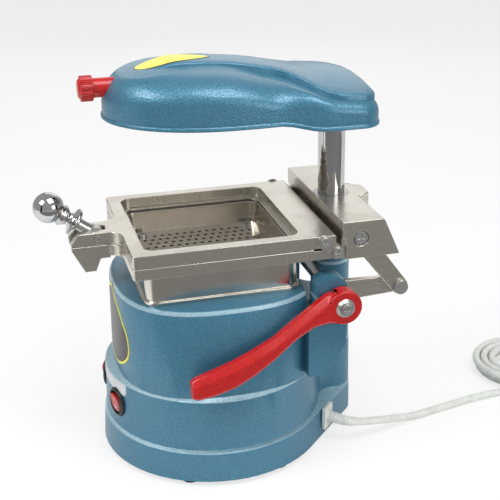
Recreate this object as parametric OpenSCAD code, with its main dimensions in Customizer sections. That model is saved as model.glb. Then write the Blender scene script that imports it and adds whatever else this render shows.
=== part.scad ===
// Dental vacuum former: a bench machine that warms a plastic sheet and draws it down over a model.
// The origin is on the table under the middle of the machine, +Z is up and the front faces -Y.

/* [Forming frames] */
// Width of both frames, side to side
frame_w = 134; // [128:1:160]
// Length of the upper frame, front to back
frame_l = 150; // [144:1:170]
// Side of the square window in the frames
window_w = 115; // [90:1:116]
// Bar in front of the window
front_bar = 10; // [8:0.5:14]
// Thickness of the upper frame
upper_t = 9.6; // [8:0.2:12]
// Thickness of the lower frame
lower_t = 8.5; // [7:0.5:11]
// Gap that holds the plastic sheet between the frames
sheet_gap = 0.3; // [0.2:0.1:1]
// Height of the upper frame's top face with the frames down
frame_top_z = 184; // [178:1:200]
// Width of the lip inside the upper frame
lip_w = 3.5; // [2:0.5:5]

/* [Post and head] */
// Diameter of the chromed post
post_d = 21; // [18:0.5:24]
// Height of the head's rim at the front
head_rim_z = 267; // [262:1:290]
// Greatest half width of the round front part of the head
head_half_w = 62; // [56:1:70]
// Half width of the square rear part of the head
head_rear_w = 71; // [66:1:78]
// Height of the head at its crown, above the front rim
head_h = 43; // [38:1:52]
// Wall of the head cover
head_wall = 3; // [2:0.5:4]

/* [Base] */
// Radius of the foot of the base
base_r = 89; // [86:1:100]
// Wall of the base casting
base_wall = 4; // [3:0.5:6]
// Height of the flat top of the base
base_top_z = 141; // [138:1:144]
// Height of the low ledge round the base
low_ledge_z = 29; // [22:1:36]
// Height of the high ledge round the base
high_ledge_z = 71; // [64:1:80]
// Height of the rubber feet
foot_h = 4; // [3:0.5:8]

/* [Lifting linkage] */
// Distance from the crank shaft to the pins that carry the links
crank_r = 52.2; // [48:0.5:54]
// Diameter of the crank shaft
shaft_d = 10; // [8:0.5:12]
// Thickness of the cranks and links
bar_t = 5; // [4:0.5:6]
// Width of the cranks and links
bar_w = 13; // [11:0.5:14]
// Thickness of the red lever at its grip
grip_t = 11; // [8:0.5:14]

/* [Tray and plate] */
// Height of the vacuum tray
tray_h = 32; // [28:1:34]
// Wall of the vacuum tray at its rim
tray_wall = 3.5; // [3:0.5:5]
// Diameter of the air holes in the plate
hole_d = 3; // [2:0.5:4]
// Distance between air holes, front to back
hole_pitch = 6.1; // [5.5:0.1:8]
// Distance between the rows of air holes
row_pitch = 8; // [6:0.5:10]

/* [Hidden] */
$fn = 64;

// The lever stands out on one side, so the middle plane is set off to centre the machine on the origin
mid_x = -4.5;

// Clearances
clear = 0.3;
fit = 0.1;
cut = 1;

// Colours
enamel = [0.27, 0.46, 0.55];
red = [0.80, 0.10, 0.08];
nickel = [0.75, 0.73, 0.69];
chrome = [0.82, 0.82, 0.83];
steel = [0.55, 0.56, 0.58];
brass = [0.75, 0.62, 0.35];
dark = [0.13, 0.13, 0.14];
ivory = [0.86, 0.87, 0.84];
yellow = [0.90, 0.88, 0.30];

// Places along the machine, front to back
frame_front_y = -frame_l / 2;
frame_rear_y = frame_l / 2;
window_y = frame_front_y + front_bar + window_w / 2;
block_y = frame_rear_y + 3.9;
post_y = block_y + 14.4;
drum_y = -6;
top_y = -4;

// Levels of the frames
upper_z = frame_top_z - upper_t;
lower_top_z = upper_z - sheet_gap;
lower_z = lower_top_z - lower_t;

// Places of the hinge straps' pivots
strap_a = [frame_rear_y - 9.9, frame_top_z - 3.9];
strap_b = [block_y - 4, lower_z + lower_t - 2.8];
strap_t = 2;
strap_r = 5.4;
strap_x = frame_w / 2 + 0.2;

// Swing bolt: angles above the level, and distances from its pin along its axis
bolt_pin_y = frame_front_y - 17.3;
bolt_pin_z = frame_top_z - 4.3;
bolt_rest_angle = 35.8;
bolt_lock_angle = -27;
shank_d = 9.5;
slot_w = shank_d + 1;
tab_half_w = 12.3;
rim_s = 16.75;
rim_r = 10.5;
seat_s = 20.9;
knob_s = 40.2;
knob_r = 11.5;
bolt_pin_d = 4;

// Linkage: shaft, crank pins and link screws
shaft_y = 75.5;
shaft_z = 134.5;
link_x = 58.7;
crank_x = link_x - 0.5 - bar_t;
crank_pin_d = 7;
crank_pin = [shaft_y + crank_r, shaft_z + 0.7];
link_pin = [post_y + 0.2, frame_top_z - 4];
link_screw_d = 4;
link_eye_d = link_screw_d + 7.2;
link_eye_r = link_eye_d / 2 + 1.8;
boss_x = 60.5;
boss_w = 15;
hub_r = 13;
hub_x = boss_x + boss_w + 0.5;
hub_t = 12;

// Post and nose of the base
nose_top_r = 15;
nose_low_r = 17;
nose_top_z = 163;
rear_cut_y = 53;
rear_cut_z = 112;
web_z = 22;
pedestal_z = 124;
pedestal_x = 42;
foot_reach = base_r - 11;
post_top_z = 288;

// Carriage block
block_top_z = frame_top_z + 9.8;
block_z = frame_top_z - 19.1;
block_half_w = frame_w / 2 + 2.2;
cheek_t = 5;
front_t = 4;
web_t = 4.2;
bush_wall = 3;
collar_z = head_rim_z - 3.5;

// Switches on the front of the base
switch_x = 26;
switch_z = 49.5;
switch_d = 23;
switch_body_d = 20;
rocker_w = 12.4;
rocker_h = 15.2;
rocker_room_d = switch_body_d - 1.8;

// Vacuum tray and its plate
tray_z = base_top_z;
tray_r = 10;
plate_top_z = tray_z + 15.5;
plate_t = 2;
plate_w = window_w - 12;
port_d = 20;
plate_screw_x = plate_w / 2 - 8.5;

// Heater in the head
heater_y = window_y;
pan_z = head_rim_z + 1.5;
pan_t = 1.2;
dish_r = 50;
element_r = 42;
element_d = 6;
element_pitch = 11;
element_turns = 3;
element_z = pan_z + 7;

// Mains cord: points on its way from the gland to the coil, chosen by hand, and the coil
cord_d = 6.3;
gland_at = [42, 76.9, 19];
gland_turn = 46.5;
cord_points = [
    [48, 83, 19], [52, 89, 18], [54, 97, 16.5], [53, 106, 14.5], [51, 116, 12.5], [48, 127, 10],
    [44, 139, 7], [41, 150, 4.7], [38, 161, 3.4], [35, 173, 3.15], [32, 186, 3.15], [29, 200, 3.15],
    [26, 214, 3.15], [24, 228, 3.15], [23, 242, 3.15], [23, 256, 3.15], [25, 270, 3.15]
];
coil_turns = 3;
coil_mid_r = 34.6;
coil_step = cord_d + 0.7;

// Small helpers

module on_mid() {
    translate([mid_x, 0, 0]) children();
}

// A copy on each side of the middle plane
module both_sides() {
    children();
    mirror([1, 0, 0]) children();
}

// A cylinder along X from x to x + h, centred on a point [y, z]
module rod_x(d, x, h, at) {
    translate([x, at[0], at[1]]) rotate([0, 90, 0]) cylinder(d = d, h = h);
}

// A solid cut from a side view in Y and Z, from x to x + h
module side_slab(outline, x, h) {
    translate([x, 0, 0]) rotate([90, 0, 90]) linear_extrude(h) polygon(outline);
}

// Points on an arc
function arc(c, r, a0, a1, n) = [for (i = [0:n]) let (a = a0 + (a1 - a0) * i / n) c + r * [cos(a), sin(a)]];

// A rectangle with round corners, centred on the origin
function round_rect(w, l, r, n = 6) = concat(
    arc([w / 2 - r, l / 2 - r], r, 0, 90, n),
    arc([r - w / 2, l / 2 - r], r, 90, 180, n),
    arc([r - w / 2, r - l / 2], r, 180, 270, n),
    arc([w / 2 - r, r - l / 2], r, 270, 360, n)
);

// A bar with round ends between two points [y, z], as a side view
function bar_outline(a, b, ra, rb, n = 12) =
    let (t = atan2(b[1] - a[1], b[0] - a[0]), lean = acos((ra - rb) / norm(b - a)))
    concat(arc(a, ra, t + lean, t + 360 - lean, n), arc(b, rb, t - lean, t + lean, n));

function smooth(t) = let (u = max(0, min(1, t))) u * u * (3 - 2 * u);
function lerp(a, b, t) = a + (b - a) * t;

// A closed solid through rings of points that all run the same way, counter-clockwise seen from its end
function loft_faces(n, k) = concat(
    [[for (i = [0:n - 1]) i]],
    [for (s = [0:k - 2], i = [0:n - 1])
        let (j = (i + 1) % n)
        each [[s * n + i, (s + 1) * n + i, (s + 1) * n + j], [s * n + i, (s + 1) * n + j, s * n + j]]],
    [[for (i = [n - 1:-1:0]) (k - 1) * n + i]]
);

module loft(rings) {
    polyhedron([for (r = rings) each r], loft_faces(len(rings[0]), len(rings)));
}

// The same for rings that aren't flat but alike on both sides, from the front middle round to it again:
// each end is closed by strips that run across from side to side
function strips(n, first) = concat(
    [[first, first + 1, first + n - 1]],
    [for (i = [1:n / 2 - 2]) [first + i, first + i + 1, first + n - i - 1, first + n - i]],
    [[first + n / 2 - 1, first + n / 2, first + n / 2 + 1]]
);

module loft_across(rings) {
    n = len(rings[0]);
    k = len(rings);
    sides = loft_faces(n, k);
    polyhedron([for (r = rings) each r], concat(
        strips(n, 0),
        [for (i = [1:len(sides) - 2]) sides[i]],
        [for (f = strips(n, (k - 1) * n)) [for (i = [len(f) - 1:-1:0]) f[i]]]
    ));
}

// A ring of flat points lifted to a height
function lift(outline, z) = [for (p = outline) [p[0], p[1], z]];

// A screw head with its shank, its head's underside on z = 0 and the shank below
module pan_screw(d, head_d, head_h, length) {
    difference() {
        union() {
            cylinder(d = head_d, h = head_h);
            translate([0, 0, -length]) cylinder(d = d, h = length);
        }
        translate([0, 0, head_h]) cross_recess(head_d * 0.55, head_h * 0.9);
    }
}

module cross_recess(w, depth) {
    cube([w, w / 5, depth], center = true);
    cube([w / 5, w, depth], center = true);
}

// Base casting

// Plan of one tier: a rounded drum, a round nose at the post, and a hollow curve that joins them
function tier(cy, half_x, half_y, power, nose, hollow, grow = 0) =
    let (
        a = half_x + grow,
        b = half_y + grow,
        rn = nose + grow,
        f = max(1, hollow - grow),
        d = post_y - cy,
        meet = drum_reach(a, b, power, 22),
        to_f = meet + f,
        nose_f = rn + f,
        turn = acos((to_f * to_f + d * d - nose_f * nose_f) / (2 * to_f * d)),
        fc = [0, cy] + to_f * [sin(turn), cos(turn)],
        nose_turn = atan2(fc[1] - post_y, fc[0]),
        back = nose_turn + 180,
        front = 270 - turn,
        nose_arc = arc([0, post_y], rn, nose_turn, 90, 8),
        hollow_arc = arc(fc, f, front, back, 6),
        half = concat(
            [for (i = [0:22]) let (t = 180 - (180 - turn) * i / 22) drum_point(cy, a, b, power, t)],
            [for (i = [1:5]) hollow_arc[i]],
            nose_arc
        )
    )
    concat(half, [for (i = [len(half) - 2:-1:1]) [-half[i][0], half[i][1]]]);

function drum_reach(a, b, power, t) =
    1 / pow(pow(abs(sin(t)) / a, power) + pow(abs(cos(t)) / b, power), 1 / power);

function drum_point(cy, a, b, power, t) =
    let (r = drum_reach(a, b, power, t))
    [r * sin(t), cy + r * cos(t)];

// A joining curve this wide is a straight wall
straight_r = 3000;

// The rings of the casting from the foot to the flat top, grown outwards or shrunk for the inside
function base_rings(grow, low, high) = [
    lift(tier(drum_y, base_r, base_r, 2, nose_low_r + 0.5, straight_r, grow), low),
    lift(tier(drum_y, base_r - 1.5, base_r - 1.5, 2, nose_low_r + 0.3, straight_r, grow), low_ledge_z - 2),
    lift(tier(drum_y, base_r - 3, base_r - 3, 2, nose_low_r, 14, grow), low_ledge_z),
    lift(tier(drum_y, base_r - 4.5, base_r - 4.5, 2, nose_low_r - 0.6, 14, grow), high_ledge_z - 2),
    lift(tier(top_y, base_r - 9, base_r - 9.8, 2.6, nose_low_r - 1, 14, grow), high_ledge_z),
    lift(tier(top_y, base_r - 9, base_r - 10.5, 2.6, nose_low_r - 1.4, 14, grow), high - 4),
    lift(tier(top_y, base_r - 10.2, base_r - 11.7, 2.6, nose_low_r - 2.6, 14, grow), high - 1),
    lift(tier(top_y, base_r - 15.8, base_r - 17.3, 2.6, nose_low_r - 7.4, 14, grow), high + 1)
];

// The solid inside those rings, cut flat at the top
module base_solid(grow, low, high, top) {
    intersection() {
        loft(base_rings(grow, low, high));
        translate([-150, -150, 0]) cube([300, 300, top]);
    }
}

// Side view of a bearing boss
function boss_outline() = concat(
    [[shaft_y - 18.5, pedestal_z - 20], [shaft_y + 5.5, pedestal_z - 20]],
    arc([shaft_y - 3, shaft_z + 11], 8.5, 0, 90, 5),
    arc([shaft_y - 10, shaft_z + 11], 8.5, 90, 180, 5)
);

// Side view of the pedestal that carries it, which runs out into the wall of the drum below
pedestal_outline = [
    [shaft_y - 24, high_ledge_z + 4], [shaft_y - 14, high_ledge_z + 4], [shaft_y + 3, high_ledge_z + 24],
    [shaft_y + 5.5, high_ledge_z + 30], [shaft_y + 5.5, pedestal_z], [shaft_y - 24, pedestal_z]
];

module base_housing() {
    color(enamel) on_mid() difference() {
        union() {
            difference() {
                base_solid(0, foot_h, base_top_z, base_top_z);
                base_solid(-base_wall, foot_h - cut, base_top_z + 6, base_top_z - base_wall);
                rear_cut();
            }
            rear_shelf();
            nose_column();
            both_sides() {
                side_slab(boss_outline(), boss_x, boss_w);
                side_slab(pedestal_outline, pedestal_x, boss_x + boss_w - pedestal_x);
            }
            base_bosses(16);
        }
        translate([0, post_y, web_z + 8]) cylinder(d = post_d, h = 200);
        translate([0, post_y, web_z - cut]) cylinder(d = 12.5, h = 20);
        rod_x(shaft_d + 1, -boss_x, 2 * boss_x, [shaft_y, shaft_z]);
        both_sides() rod_x(shaft_d + 4 + fit, boss_x - cut, boss_w + 2 * cut, [shaft_y, shaft_z]);
        translate([0, window_y, base_top_z - base_wall - cut]) cylinder(d = port_d, h = base_wall + 2 * cut);
        for (side = [-1, 1]) {
            switch_place(side) rotate([-90, 0, 0]) {
                cylinder(d = switch_body_d + fit, h = 30, center = true);
                translate([0, 0, -5]) cylinder(d = switch_d + 2 * fit, h = 5.1);
            }
        }
        gland_place() rotate([90, 0, 0]) cylinder(d = cord_d + 2, h = 40, center = true);
        base_bosses(4);
    }
}

// The step at the back of the drum, which leaves room for the cranks and the frames
module rear_cut() {
    translate([-100, rear_cut_y, rear_cut_z]) cube([200, 100, 100]);
}

// The floor of that step and its upright wall
module rear_shelf() {
    intersection() {
        loft(base_rings(-0.05, foot_h, base_top_z));
        union() {
            translate([-100, rear_cut_y - base_wall, rear_cut_z - base_wall])
                cube([200, base_wall, base_top_z - rear_cut_z + base_wall - 0.1]);
            translate([-100, rear_cut_y - base_wall, rear_cut_z - base_wall]) cube([200, 100, base_wall]);
        }
    }
}

// The column that holds the post, closed by a web for the clamp bolt
module nose_column() {
    translate([0, post_y, web_z]) cylinder(r1 = nose_low_r - 0.6, r2 = nose_top_r, h = nose_top_z - web_z - 2);
    translate([0, post_y, nose_top_z - 2]) cylinder(r1 = nose_top_r, r2 = nose_top_r - 1.2, h = 2);
}

// Four pillars inside the foot that take the screws of the base plate
module base_bosses(d) {
    foot_places() translate([0, 0, foot_h + 2]) cylinder(d = d, h = 16);
}

module foot_places() {
    for (a = [-26, 26, 154, 206]) translate([foot_reach * cos(a), drum_y + foot_reach * sin(a), 0]) children();
}

module base_plate() {
    color(steel) on_mid() difference() {
        translate([0, 0, foot_h]) linear_extrude(2)
            polygon(tier(drum_y, base_r, base_r, 2, nose_low_r, straight_r, -base_wall - 0.5));
        foot_places() translate([0, 0, foot_h - cut]) cylinder(d = 4.4, h = 4);
        for (i = [-4:4]) translate([i * 9, drum_y, foot_h]) cube([4, 60, 10], center = true);
    }
}

module base_screws() {
    color(steel) on_mid() foot_places()
        translate([0, 0, foot_h - 1.2]) mirror([0, 0, 1]) pan_screw(4, 7.5, 2, 14);
}

module rubber_feet() {
    color(dark) on_mid() foot_places() difference() {
        cylinder(d1 = 15, d2 = 17, h = foot_h);
        translate([0, 0, -cut]) cylinder(d = 8, h = foot_h - 1.2 + cut);
        cylinder(d = 4.4, h = foot_h + cut);
    }
}

// Stickers and label on the front

// The drop shape of the front sticker, seen from the front
function drop_outline(w, h) = [
    for (i = [0:35]) let (t = i * 10) [w / 2 * sin(t) * pow(abs(sin(t / 2)), 0.6), h / 2 * cos(t)]
];

// A thin skin on the front of the upper drum, cut by an outline in X and Z
module front_skin(thickness, outline, z) {
    intersection() {
        difference() {
            loft(base_rings(thickness, foot_h, base_top_z));
            loft(base_rings(0.02, foot_h - cut, base_top_z + cut));
        }
        translate([0, -20, z]) rotate([90, 0, 0]) linear_extrude(100) polygon(outline);
    }
}

module front_sticker() {
    color(yellow) on_mid() front_skin(0.4, drop_outline(96, 62), frame_top_z - 77);
}

module switch_label() {
    color(ivory) on_mid() difference() {
        front_skin(0.4, round_rect(76, 9.5, 2), frame_top_z - 120);
        for (side = [-1, 1]) switch_place(side) rotate([90, 0, 0])
            cylinder(d = switch_d + 2 * clear, h = 30, center = true);
    }
}

// Rocker switches

module switch_place(side) {
    turn = asin(switch_x / (base_r - 4));
    translate([0, drum_y, switch_z]) rotate([0, 0, side * turn]) translate([0, -(base_r - 4), 0]) children();
}

// The part of a rocker's space that is inside a round switch
module rocker_room(w, d, depth) {
    intersection() {
        translate([-w / 2, -6, -d / 2]) cube([w, depth + 6, d]);
        rotate([-90, 0, 0]) translate([0, 0, -6]) cylinder(d = d, h = depth + 6);
    }
}

module switch_bezels() {
    color(dark) on_mid() for (side = [-1, 1]) switch_place(side) difference() {
        union() {
            rotate([90, 0, 0]) rotate_extrude() polygon([
                [0, -0.1], [switch_d / 2, -0.1], [switch_d / 2, 0.7], [switch_d / 2 - 0.6, 1.6],
                [switch_d / 2 - 1.7, 2.2], [0, 2.2]
            ]);
            rotate([-90, 0, 0]) cylinder(d = switch_body_d, h = 19);
        }
        rocker_room(rocker_w + 2 * clear, rocker_room_d, 13);
        translate([0, 3, 0]) rotate([0, 90, 0]) cylinder(d = 2, h = switch_body_d - 2.2, center = true);
    }
}

// A rocker turns about a pin across its middle and stands out at one end
module rocker(side) {
    switch_place(side) {
        translate([0, 3, 0]) rotate([0, 90, 0]) cylinder(d = 2 - fit, h = switch_body_d - 2.6, center = true);
        intersection() {
            translate([-rocker_w / 2, 0, 0]) rotate([90, 0, 90]) linear_extrude(rocker_w) polygon([
                [5, -rocker_h / 4], [-0.6, 0.2 - rocker_h / 2], [-1.9, 0.6 - rocker_h / 2], [-2.4, 0],
                [-3.9, rocker_h / 2 - 0.9], [-2.6, rocker_h / 2 - 0.3], [5, rocker_h / 4]
            ]);
            rotate([-90, 0, 0]) translate([0, 0, -6]) cylinder(d = rocker_h, h = 20);
        }
    }
}

module rocker_left() {
    color(red) on_mid() rocker(-1);
}

module rocker_right() {
    color(red) on_mid() rocker(1);
}

// Mains cord

module gland_place() {
    translate(gland_at) rotate([0, 0, -(90 - gland_turn)]) children();
}

module cord_gland() {
    color(ivory) on_mid() gland_place() difference() {
        union() {
            translate([-7, 0.2, -9.5]) cube([14, 2.8, 19]);
            rotate([-90, 0, 0]) translate([0, 0, -8]) cylinder(d = cord_d + 1.8, h = 14.6);
        }
        rotate([-90, 0, 0]) translate([0, 0, -9]) cylinder(d = cord_d + fit, h = 20);
    }
}

function unit(v) = v / norm(v);

// Rings square to a path of points, its first and last ring square to given directions
function tube_rings(path, d, sides, first, last) = [
    for (i = [0:len(path) - 1])
        let (
            t = i == 0 ? first : i == len(path) - 1 ? last : unit(path[i + 1] - path[i - 1]),
            u = unit(cross([0, 0, 1], t)),
            v = cross(t, u)
        )
        [for (k = [0:sides - 1]) let (a = 360 * (k + 0.5) / sides) path[i] + d / 2 * (cos(a) * u + sin(a) * v)]
];

module tube(path, d, sides, first, last) {
    loft(tube_rings(path, d, sides, first, last));
}

gland_out = [cos(gland_turn), sin(gland_turn), 0];
cord_start = gland_at + 0.2 * gland_out;
cord_end = cord_points[len(cord_points) - 1];
cord_last = unit(cord_end - cord_points[len(cord_points) - 2]);

module mains_cord() {
    color(ivory) on_mid() tube(concat([cord_start], cord_points), cord_d, 8, gland_out, cord_last);
}

// The coil spirals in on the table and out again one layer up, as one tube
coil_in_turn = atan2(cord_last[1], cord_last[0]) - 90;
coil_out_r = coil_mid_r + coil_step * (coil_turns - 1) / 2;
coil_centre = [cord_end[0], cord_end[1], 0] - coil_out_r * [cos(coil_in_turn), sin(coil_in_turn), 0]
    + cord_d * cord_last;
coil_rings = 24;

function coil_point(i) =
    let (
        half = coil_turns * coil_rings,
        climb = smooth((i - half + coil_rings / 4) / (coil_rings / 2)),
        inwards = i < half ? i : 2 * half - i,
        r = coil_out_r - coil_step * inwards / coil_rings,
        a = coil_in_turn + 360 * i / coil_rings
    )
    [coil_centre[0] + r * cos(a), coil_centre[1] + r * sin(a), cord_d / 2 + climb * (cord_d + 0.6)];

coil_away = [-sin(coil_in_turn), cos(coil_in_turn), 0];
coil_end = coil_point(2 * coil_turns * coil_rings);
coil_tail = coil_end + 27 * coil_away - [0, 0, 1.9];
coil_path = concat(
    [cord_end], [for (i = [0:2 * coil_turns * coil_rings]) coil_point(i)],
    [coil_end + 9 * coil_away - [0, 0, 0.3], coil_end + 18 * coil_away - [0, 0, 1.1], coil_tail]
);

// The least distance between the outsides of turns of the coil
coil_gap = min([
    for (i = [0:len(coil_path) - 1], j = [i + 8:1:len(coil_path) - 1]) norm(coil_path[i] - coil_path[j])
]) - cord_d;
echo(coil_gap = coil_gap);

module cord_coil() {
    color(ivory) on_mid() tube(coil_path, cord_d, 6, cord_last, coil_away);
}

// A plug with two flat pins, lying beside the coil
module mains_plug() {
    color(ivory) on_mid() translate(coil_tail) rotate([0, 0, coil_in_turn]) {
        rotate([-90, 0, 0]) cylinder(d1 = cord_d + 1, d2 = cord_d + 4, h = 16);
        translate([0, 16, 0]) side_slab([
            [0, -5], [3, -coil_tail[2]], [26, -coil_tail[2]], [30, -6], [30, 6], [26, 8], [3, 8], [0, 5]
        ], -13, 26);
        for (side = [-1, 1]) translate([side * 6.35 - 0.75, 46, -3.2]) cube([1.5, 17, 6.4]);
    }
}

// Vacuum motor

module vacuum_motor() {
    color(steel) on_mid() translate([0, window_y, 0]) difference() {
        union() {
            translate([0, 0, 36]) cylinder(d = 74, h = 56);
            translate([0, 0, 28]) cylinder(d = 30, h = 10);
        }
        for (a = [0:45:315]) rotate([0, 0, a]) translate([37, 0, 70]) cube([8, 12, 14], center = true);
    }
}

module fan_housing() {
    color(nickel) on_mid() translate([0, window_y, 92]) difference() {
        union() {
            cylinder(d = 112, h = 34);
            translate([0, 0, 34]) cylinder(d = 60, h = base_top_z - base_wall - 129);
        }
        translate([0, 0, 3]) cylinder(d = 108, h = 28);
        translate([0, 0, 20]) cylinder(d = 40, h = 40);
    }
}

module motor_gasket() {
    color(dark) on_mid() translate([0, window_y, base_top_z - base_wall - 3]) difference() {
        cylinder(d = 60, h = 3);
        translate([0, 0, -cut]) cylinder(d = 40, h = 5);
    }
}

// Shaft bushes and post

module shaft_bushes() {
    color(brass) on_mid() both_sides() difference() {
        rod_x(shaft_d + 4, boss_x - 0.2, boss_w + 0.3, [shaft_y, shaft_z]);
        rod_x(shaft_d + 2 * fit, boss_x - cut, boss_w + 2 * cut, [shaft_y, shaft_z]);
    }
}

module post() {
    color(chrome) on_mid() translate([0, post_y, web_z + 8]) difference() {
        cylinder(d = post_d, h = post_top_z - web_z - 8);
        translate([0, 0, -cut]) cylinder(d = 10, h = 25);
    }
}

module post_bolt() {
    color(steel) on_mid() translate([0, post_y, 0]) {
        translate([0, 0, web_z - 2.5]) cylinder(d = 26, h = 2.5);
        translate([0, 0, web_z - 10]) cylinder(d = 19, h = 7.6, $fn = 6);
        translate([0, 0, web_z - 3]) cylinder(d = 10, h = 31);
    }
}

module head_collar() {
    color(steel) on_mid() translate([0, post_y, collar_z]) difference() {
        cylinder(d = 30, h = 5);
        translate([0, 0, -cut]) cylinder(d = post_d + fit, h = 8);
        translate([-1, 0, -cut]) cube([2, 30, 8]);
    }
}

// Vacuum tray

module chamber_tray() {
    color(nickel) on_mid() translate([0, window_y, tray_z]) difference() {
        union() {
            linear_extrude(tray_h) polygon(round_rect(window_w, window_w, tray_r));
            linear_extrude(2.5) polygon(round_rect(window_w + 4, window_w + 4, tray_r + 2));
        }
        loft([
            lift(round_rect(plate_w + fit, plate_w + fit, tray_r - 4), plate_top_z - plate_t - tray_z),
            lift(round_rect(plate_w + fit, plate_w + fit, tray_r - 4), plate_top_z - tray_z + 0.5),
            lift(round_rect(window_w - 2 * tray_wall, window_w - 2 * tray_wall, tray_r - 3), tray_h - 4),
            lift(round_rect(window_w - 2 * tray_wall, window_w - 2 * tray_wall, tray_r - 3), tray_h + cut)
        ]);
        difference() {
            translate([0, 0, 3]) linear_extrude(plate_top_z - plate_t - tray_z - 2)
                polygon(round_rect(plate_w - 8, plate_w - 8, 8));
            for (x = [-1, 1], y = [-1, 1]) {
                translate([x * plate_screw_x, y * plate_screw_x, 0]) cylinder(d = 9, h = tray_h);
            }
        }
        for (x = [-1, 1], y = [-1, 1]) {
            translate([x * plate_screw_x, y * plate_screw_x, 4]) cylinder(d = 4, h = tray_h);
        }
        translate([0, 0, -cut]) cylinder(d = port_d, h = 10);
    }
}

module chamber_gasket() {
    color(dark) on_mid() translate([0, window_y, tray_z + tray_h]) linear_extrude(0.8) difference() {
        polygon(round_rect(window_w - 1, window_w - 1, tray_r - 0.5));
        polygon(round_rect(window_w - 2 * tray_wall + 1, window_w - 2 * tray_wall + 1, tray_r - 3.5));
    }
}

rows = floor((plate_w / 2 - 6) / row_pitch);
holes = floor((plate_w / 2 - 6) / hole_pitch);

module perforated_plate() {
    color(chrome) on_mid() translate([0, window_y, plate_top_z - plate_t]) linear_extrude(plate_t) difference() {
        polygon(round_rect(plate_w, plate_w, tray_r - 4));
        for (i = [-rows:rows], j = [-holes:holes]) {
            shift = i % 2 == 0 ? 0 : hole_pitch / 2;
            if (j * hole_pitch + shift < plate_w / 2 - 5 && !near_screw(i * row_pitch, j * hole_pitch + shift))
                translate([i * row_pitch, j * hole_pitch + shift]) circle(d = hole_d, $fn = 24);
        }
        for (x = [-1, 1], y = [-1, 1]) translate([x * plate_screw_x, y * plate_screw_x]) circle(d = 4.4);
    }
}

function near_screw(x, y) = norm([abs(x) - plate_screw_x, abs(y) - plate_screw_x]) < 7;

module plate_screws() {
    color(steel) on_mid() translate([0, window_y, plate_top_z]) for (x = [-1, 1], y = [-1, 1])
        translate([x * plate_screw_x, y * plate_screw_x, 0]) pan_screw(4 - fit, 7.5, 2, 9);
}

// Carriage

// Side view of the carriage block: upright in front, sloping out at the rear
function block_outline(rear) = [
    [block_y, block_z], [post_y + 30.7, block_z], [post_y + rear, block_top_z - 1.5],
    [post_y + rear - 1.5, block_top_z], [block_y, block_top_z]
];

module carriage_block() {
    color(nickel) on_mid() difference() {
        union() {
            intersection() {
                side_slab(block_outline(18.6), -block_half_w, 2 * block_half_w);
                union() {
                    translate([-100, 0, block_top_z - web_t]) cube([200, 200, 20]);
                    translate([-100, block_y, 0]) cube([200, front_t, 400]);
                    both_sides() translate([block_half_w - cheek_t, 0, 0]) cube([20, 200, 400]);
                }
            }
            intersection() {
                translate([0, post_y, block_z]) cylinder(r = 18, h = block_top_z - block_z);
                translate([-30, block_y, 0]) cube([60, 60, 400]);
            }
            translate([0, 0, block_z]) linear_extrude(block_top_z - block_z)
                polygon([[-15.8, post_y], [15.8, post_y], [15.8, post_y + 17.7], [9.1, post_y + 28.2],
                    [-9.1, post_y + 28.2], [-15.8, post_y + 17.7]]);
        }
        translate([0, post_y, block_z - cut]) cylinder(d = post_d + 2 * bush_wall, h = 60);
        both_sides() {
            translate([strap_x - clear, block_y - cut, block_z - cut])
                cube([10, 2.9 + cut, frame_top_z - block_z - 3 + cut]);
            rod_x(link_screw_d, block_half_w - cheek_t - cut, 10, link_pin);
            rod_x(11.5, block_half_w - 2, 4, link_pin);
            translate([40, block_y - cut, lower_z + 4]) rotate([-90, 0, 0]) cylinder(d = 5.3, h = front_t + 2 * cut);
        }
    }
}

module carriage_bush() {
    color(brass) on_mid() translate([0, post_y, block_z]) difference() {
        cylinder(d = post_d + 2 * bush_wall, h = block_top_z - block_z);
        translate([0, 0, -cut]) cylinder(d = post_d + 2 * fit, h = 60);
    }
}

module carriage_screws() {
    color(steel) on_mid() both_sides() translate([40, block_y + front_t, lower_z + 4]) rotate([-90, 0, 0])
        pan_screw(5 - fit, 9, 3.4, 18);
}

// Frames

// Plan of a frame's outside with the tab at its front, as half of it from the rear corner
function frame_half(rear_y) = concat(
    [[frame_w / 2, rear_y]],
    arc([frame_w / 2 - 3, frame_front_y + 3], 3, 0, -90, 3),
    arc([tab_half_w + 12, frame_front_y - 12], 12, 90, 180, 6),
    [[tab_half_w, tab_nose_y - 5]]
);
tab_nose_y = bolt_pin_y - 19.2;

function frame_outline(rear_y) = concat(
    frame_half(rear_y),
    [for (i = [len(frame_half(rear_y)) - 1:-1:0]) [-frame_half(rear_y)[i][0], frame_half(rear_y)[i][1]]]
);

module bolt_slot(z, h) {
    translate([0, bolt_pin_y + 7.3 - 25, z]) linear_extrude(h) polygon(round_rect(slot_w, 50, 2));
}

module window_cut(w, z, h) {
    translate([0, window_y, z]) linear_extrude(h) polygon(round_rect(w, w, 8));
}

// Side view of the material of the upper frame: tab chamfer in front, hinge chamfer behind
function upper_profile() = [
    [tab_nose_y, upper_z], [frame_rear_y - 4, upper_z], [frame_rear_y, upper_z + 4], [frame_rear_y, frame_top_z - 1],
    [frame_rear_y - 1, frame_top_z], [bolt_pin_y - 13.2, frame_top_z], [tab_nose_y, upper_z + 1.9]
];

module upper_frame() {
    color(nickel) on_mid() difference() {
        intersection() {
            translate([0, 0, upper_z - cut]) linear_extrude(upper_t + 2 * cut) polygon(frame_outline(frame_rear_y));
            side_slab(upper_profile(), -frame_w, 2 * frame_w);
        }
        window_cut(window_w, upper_z + 2, upper_t);
        window_cut(window_w - 2 * lip_w, upper_z - cut, upper_t);
        bolt_slot(upper_z - cut, upper_t + 2 * cut);
        rod_x(bolt_pin_d, -20, 40, [bolt_pin_y, bolt_pin_z]);
        both_sides() rod_x(4, frame_w / 2 - 8, 10, strap_a);
    }
}

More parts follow.
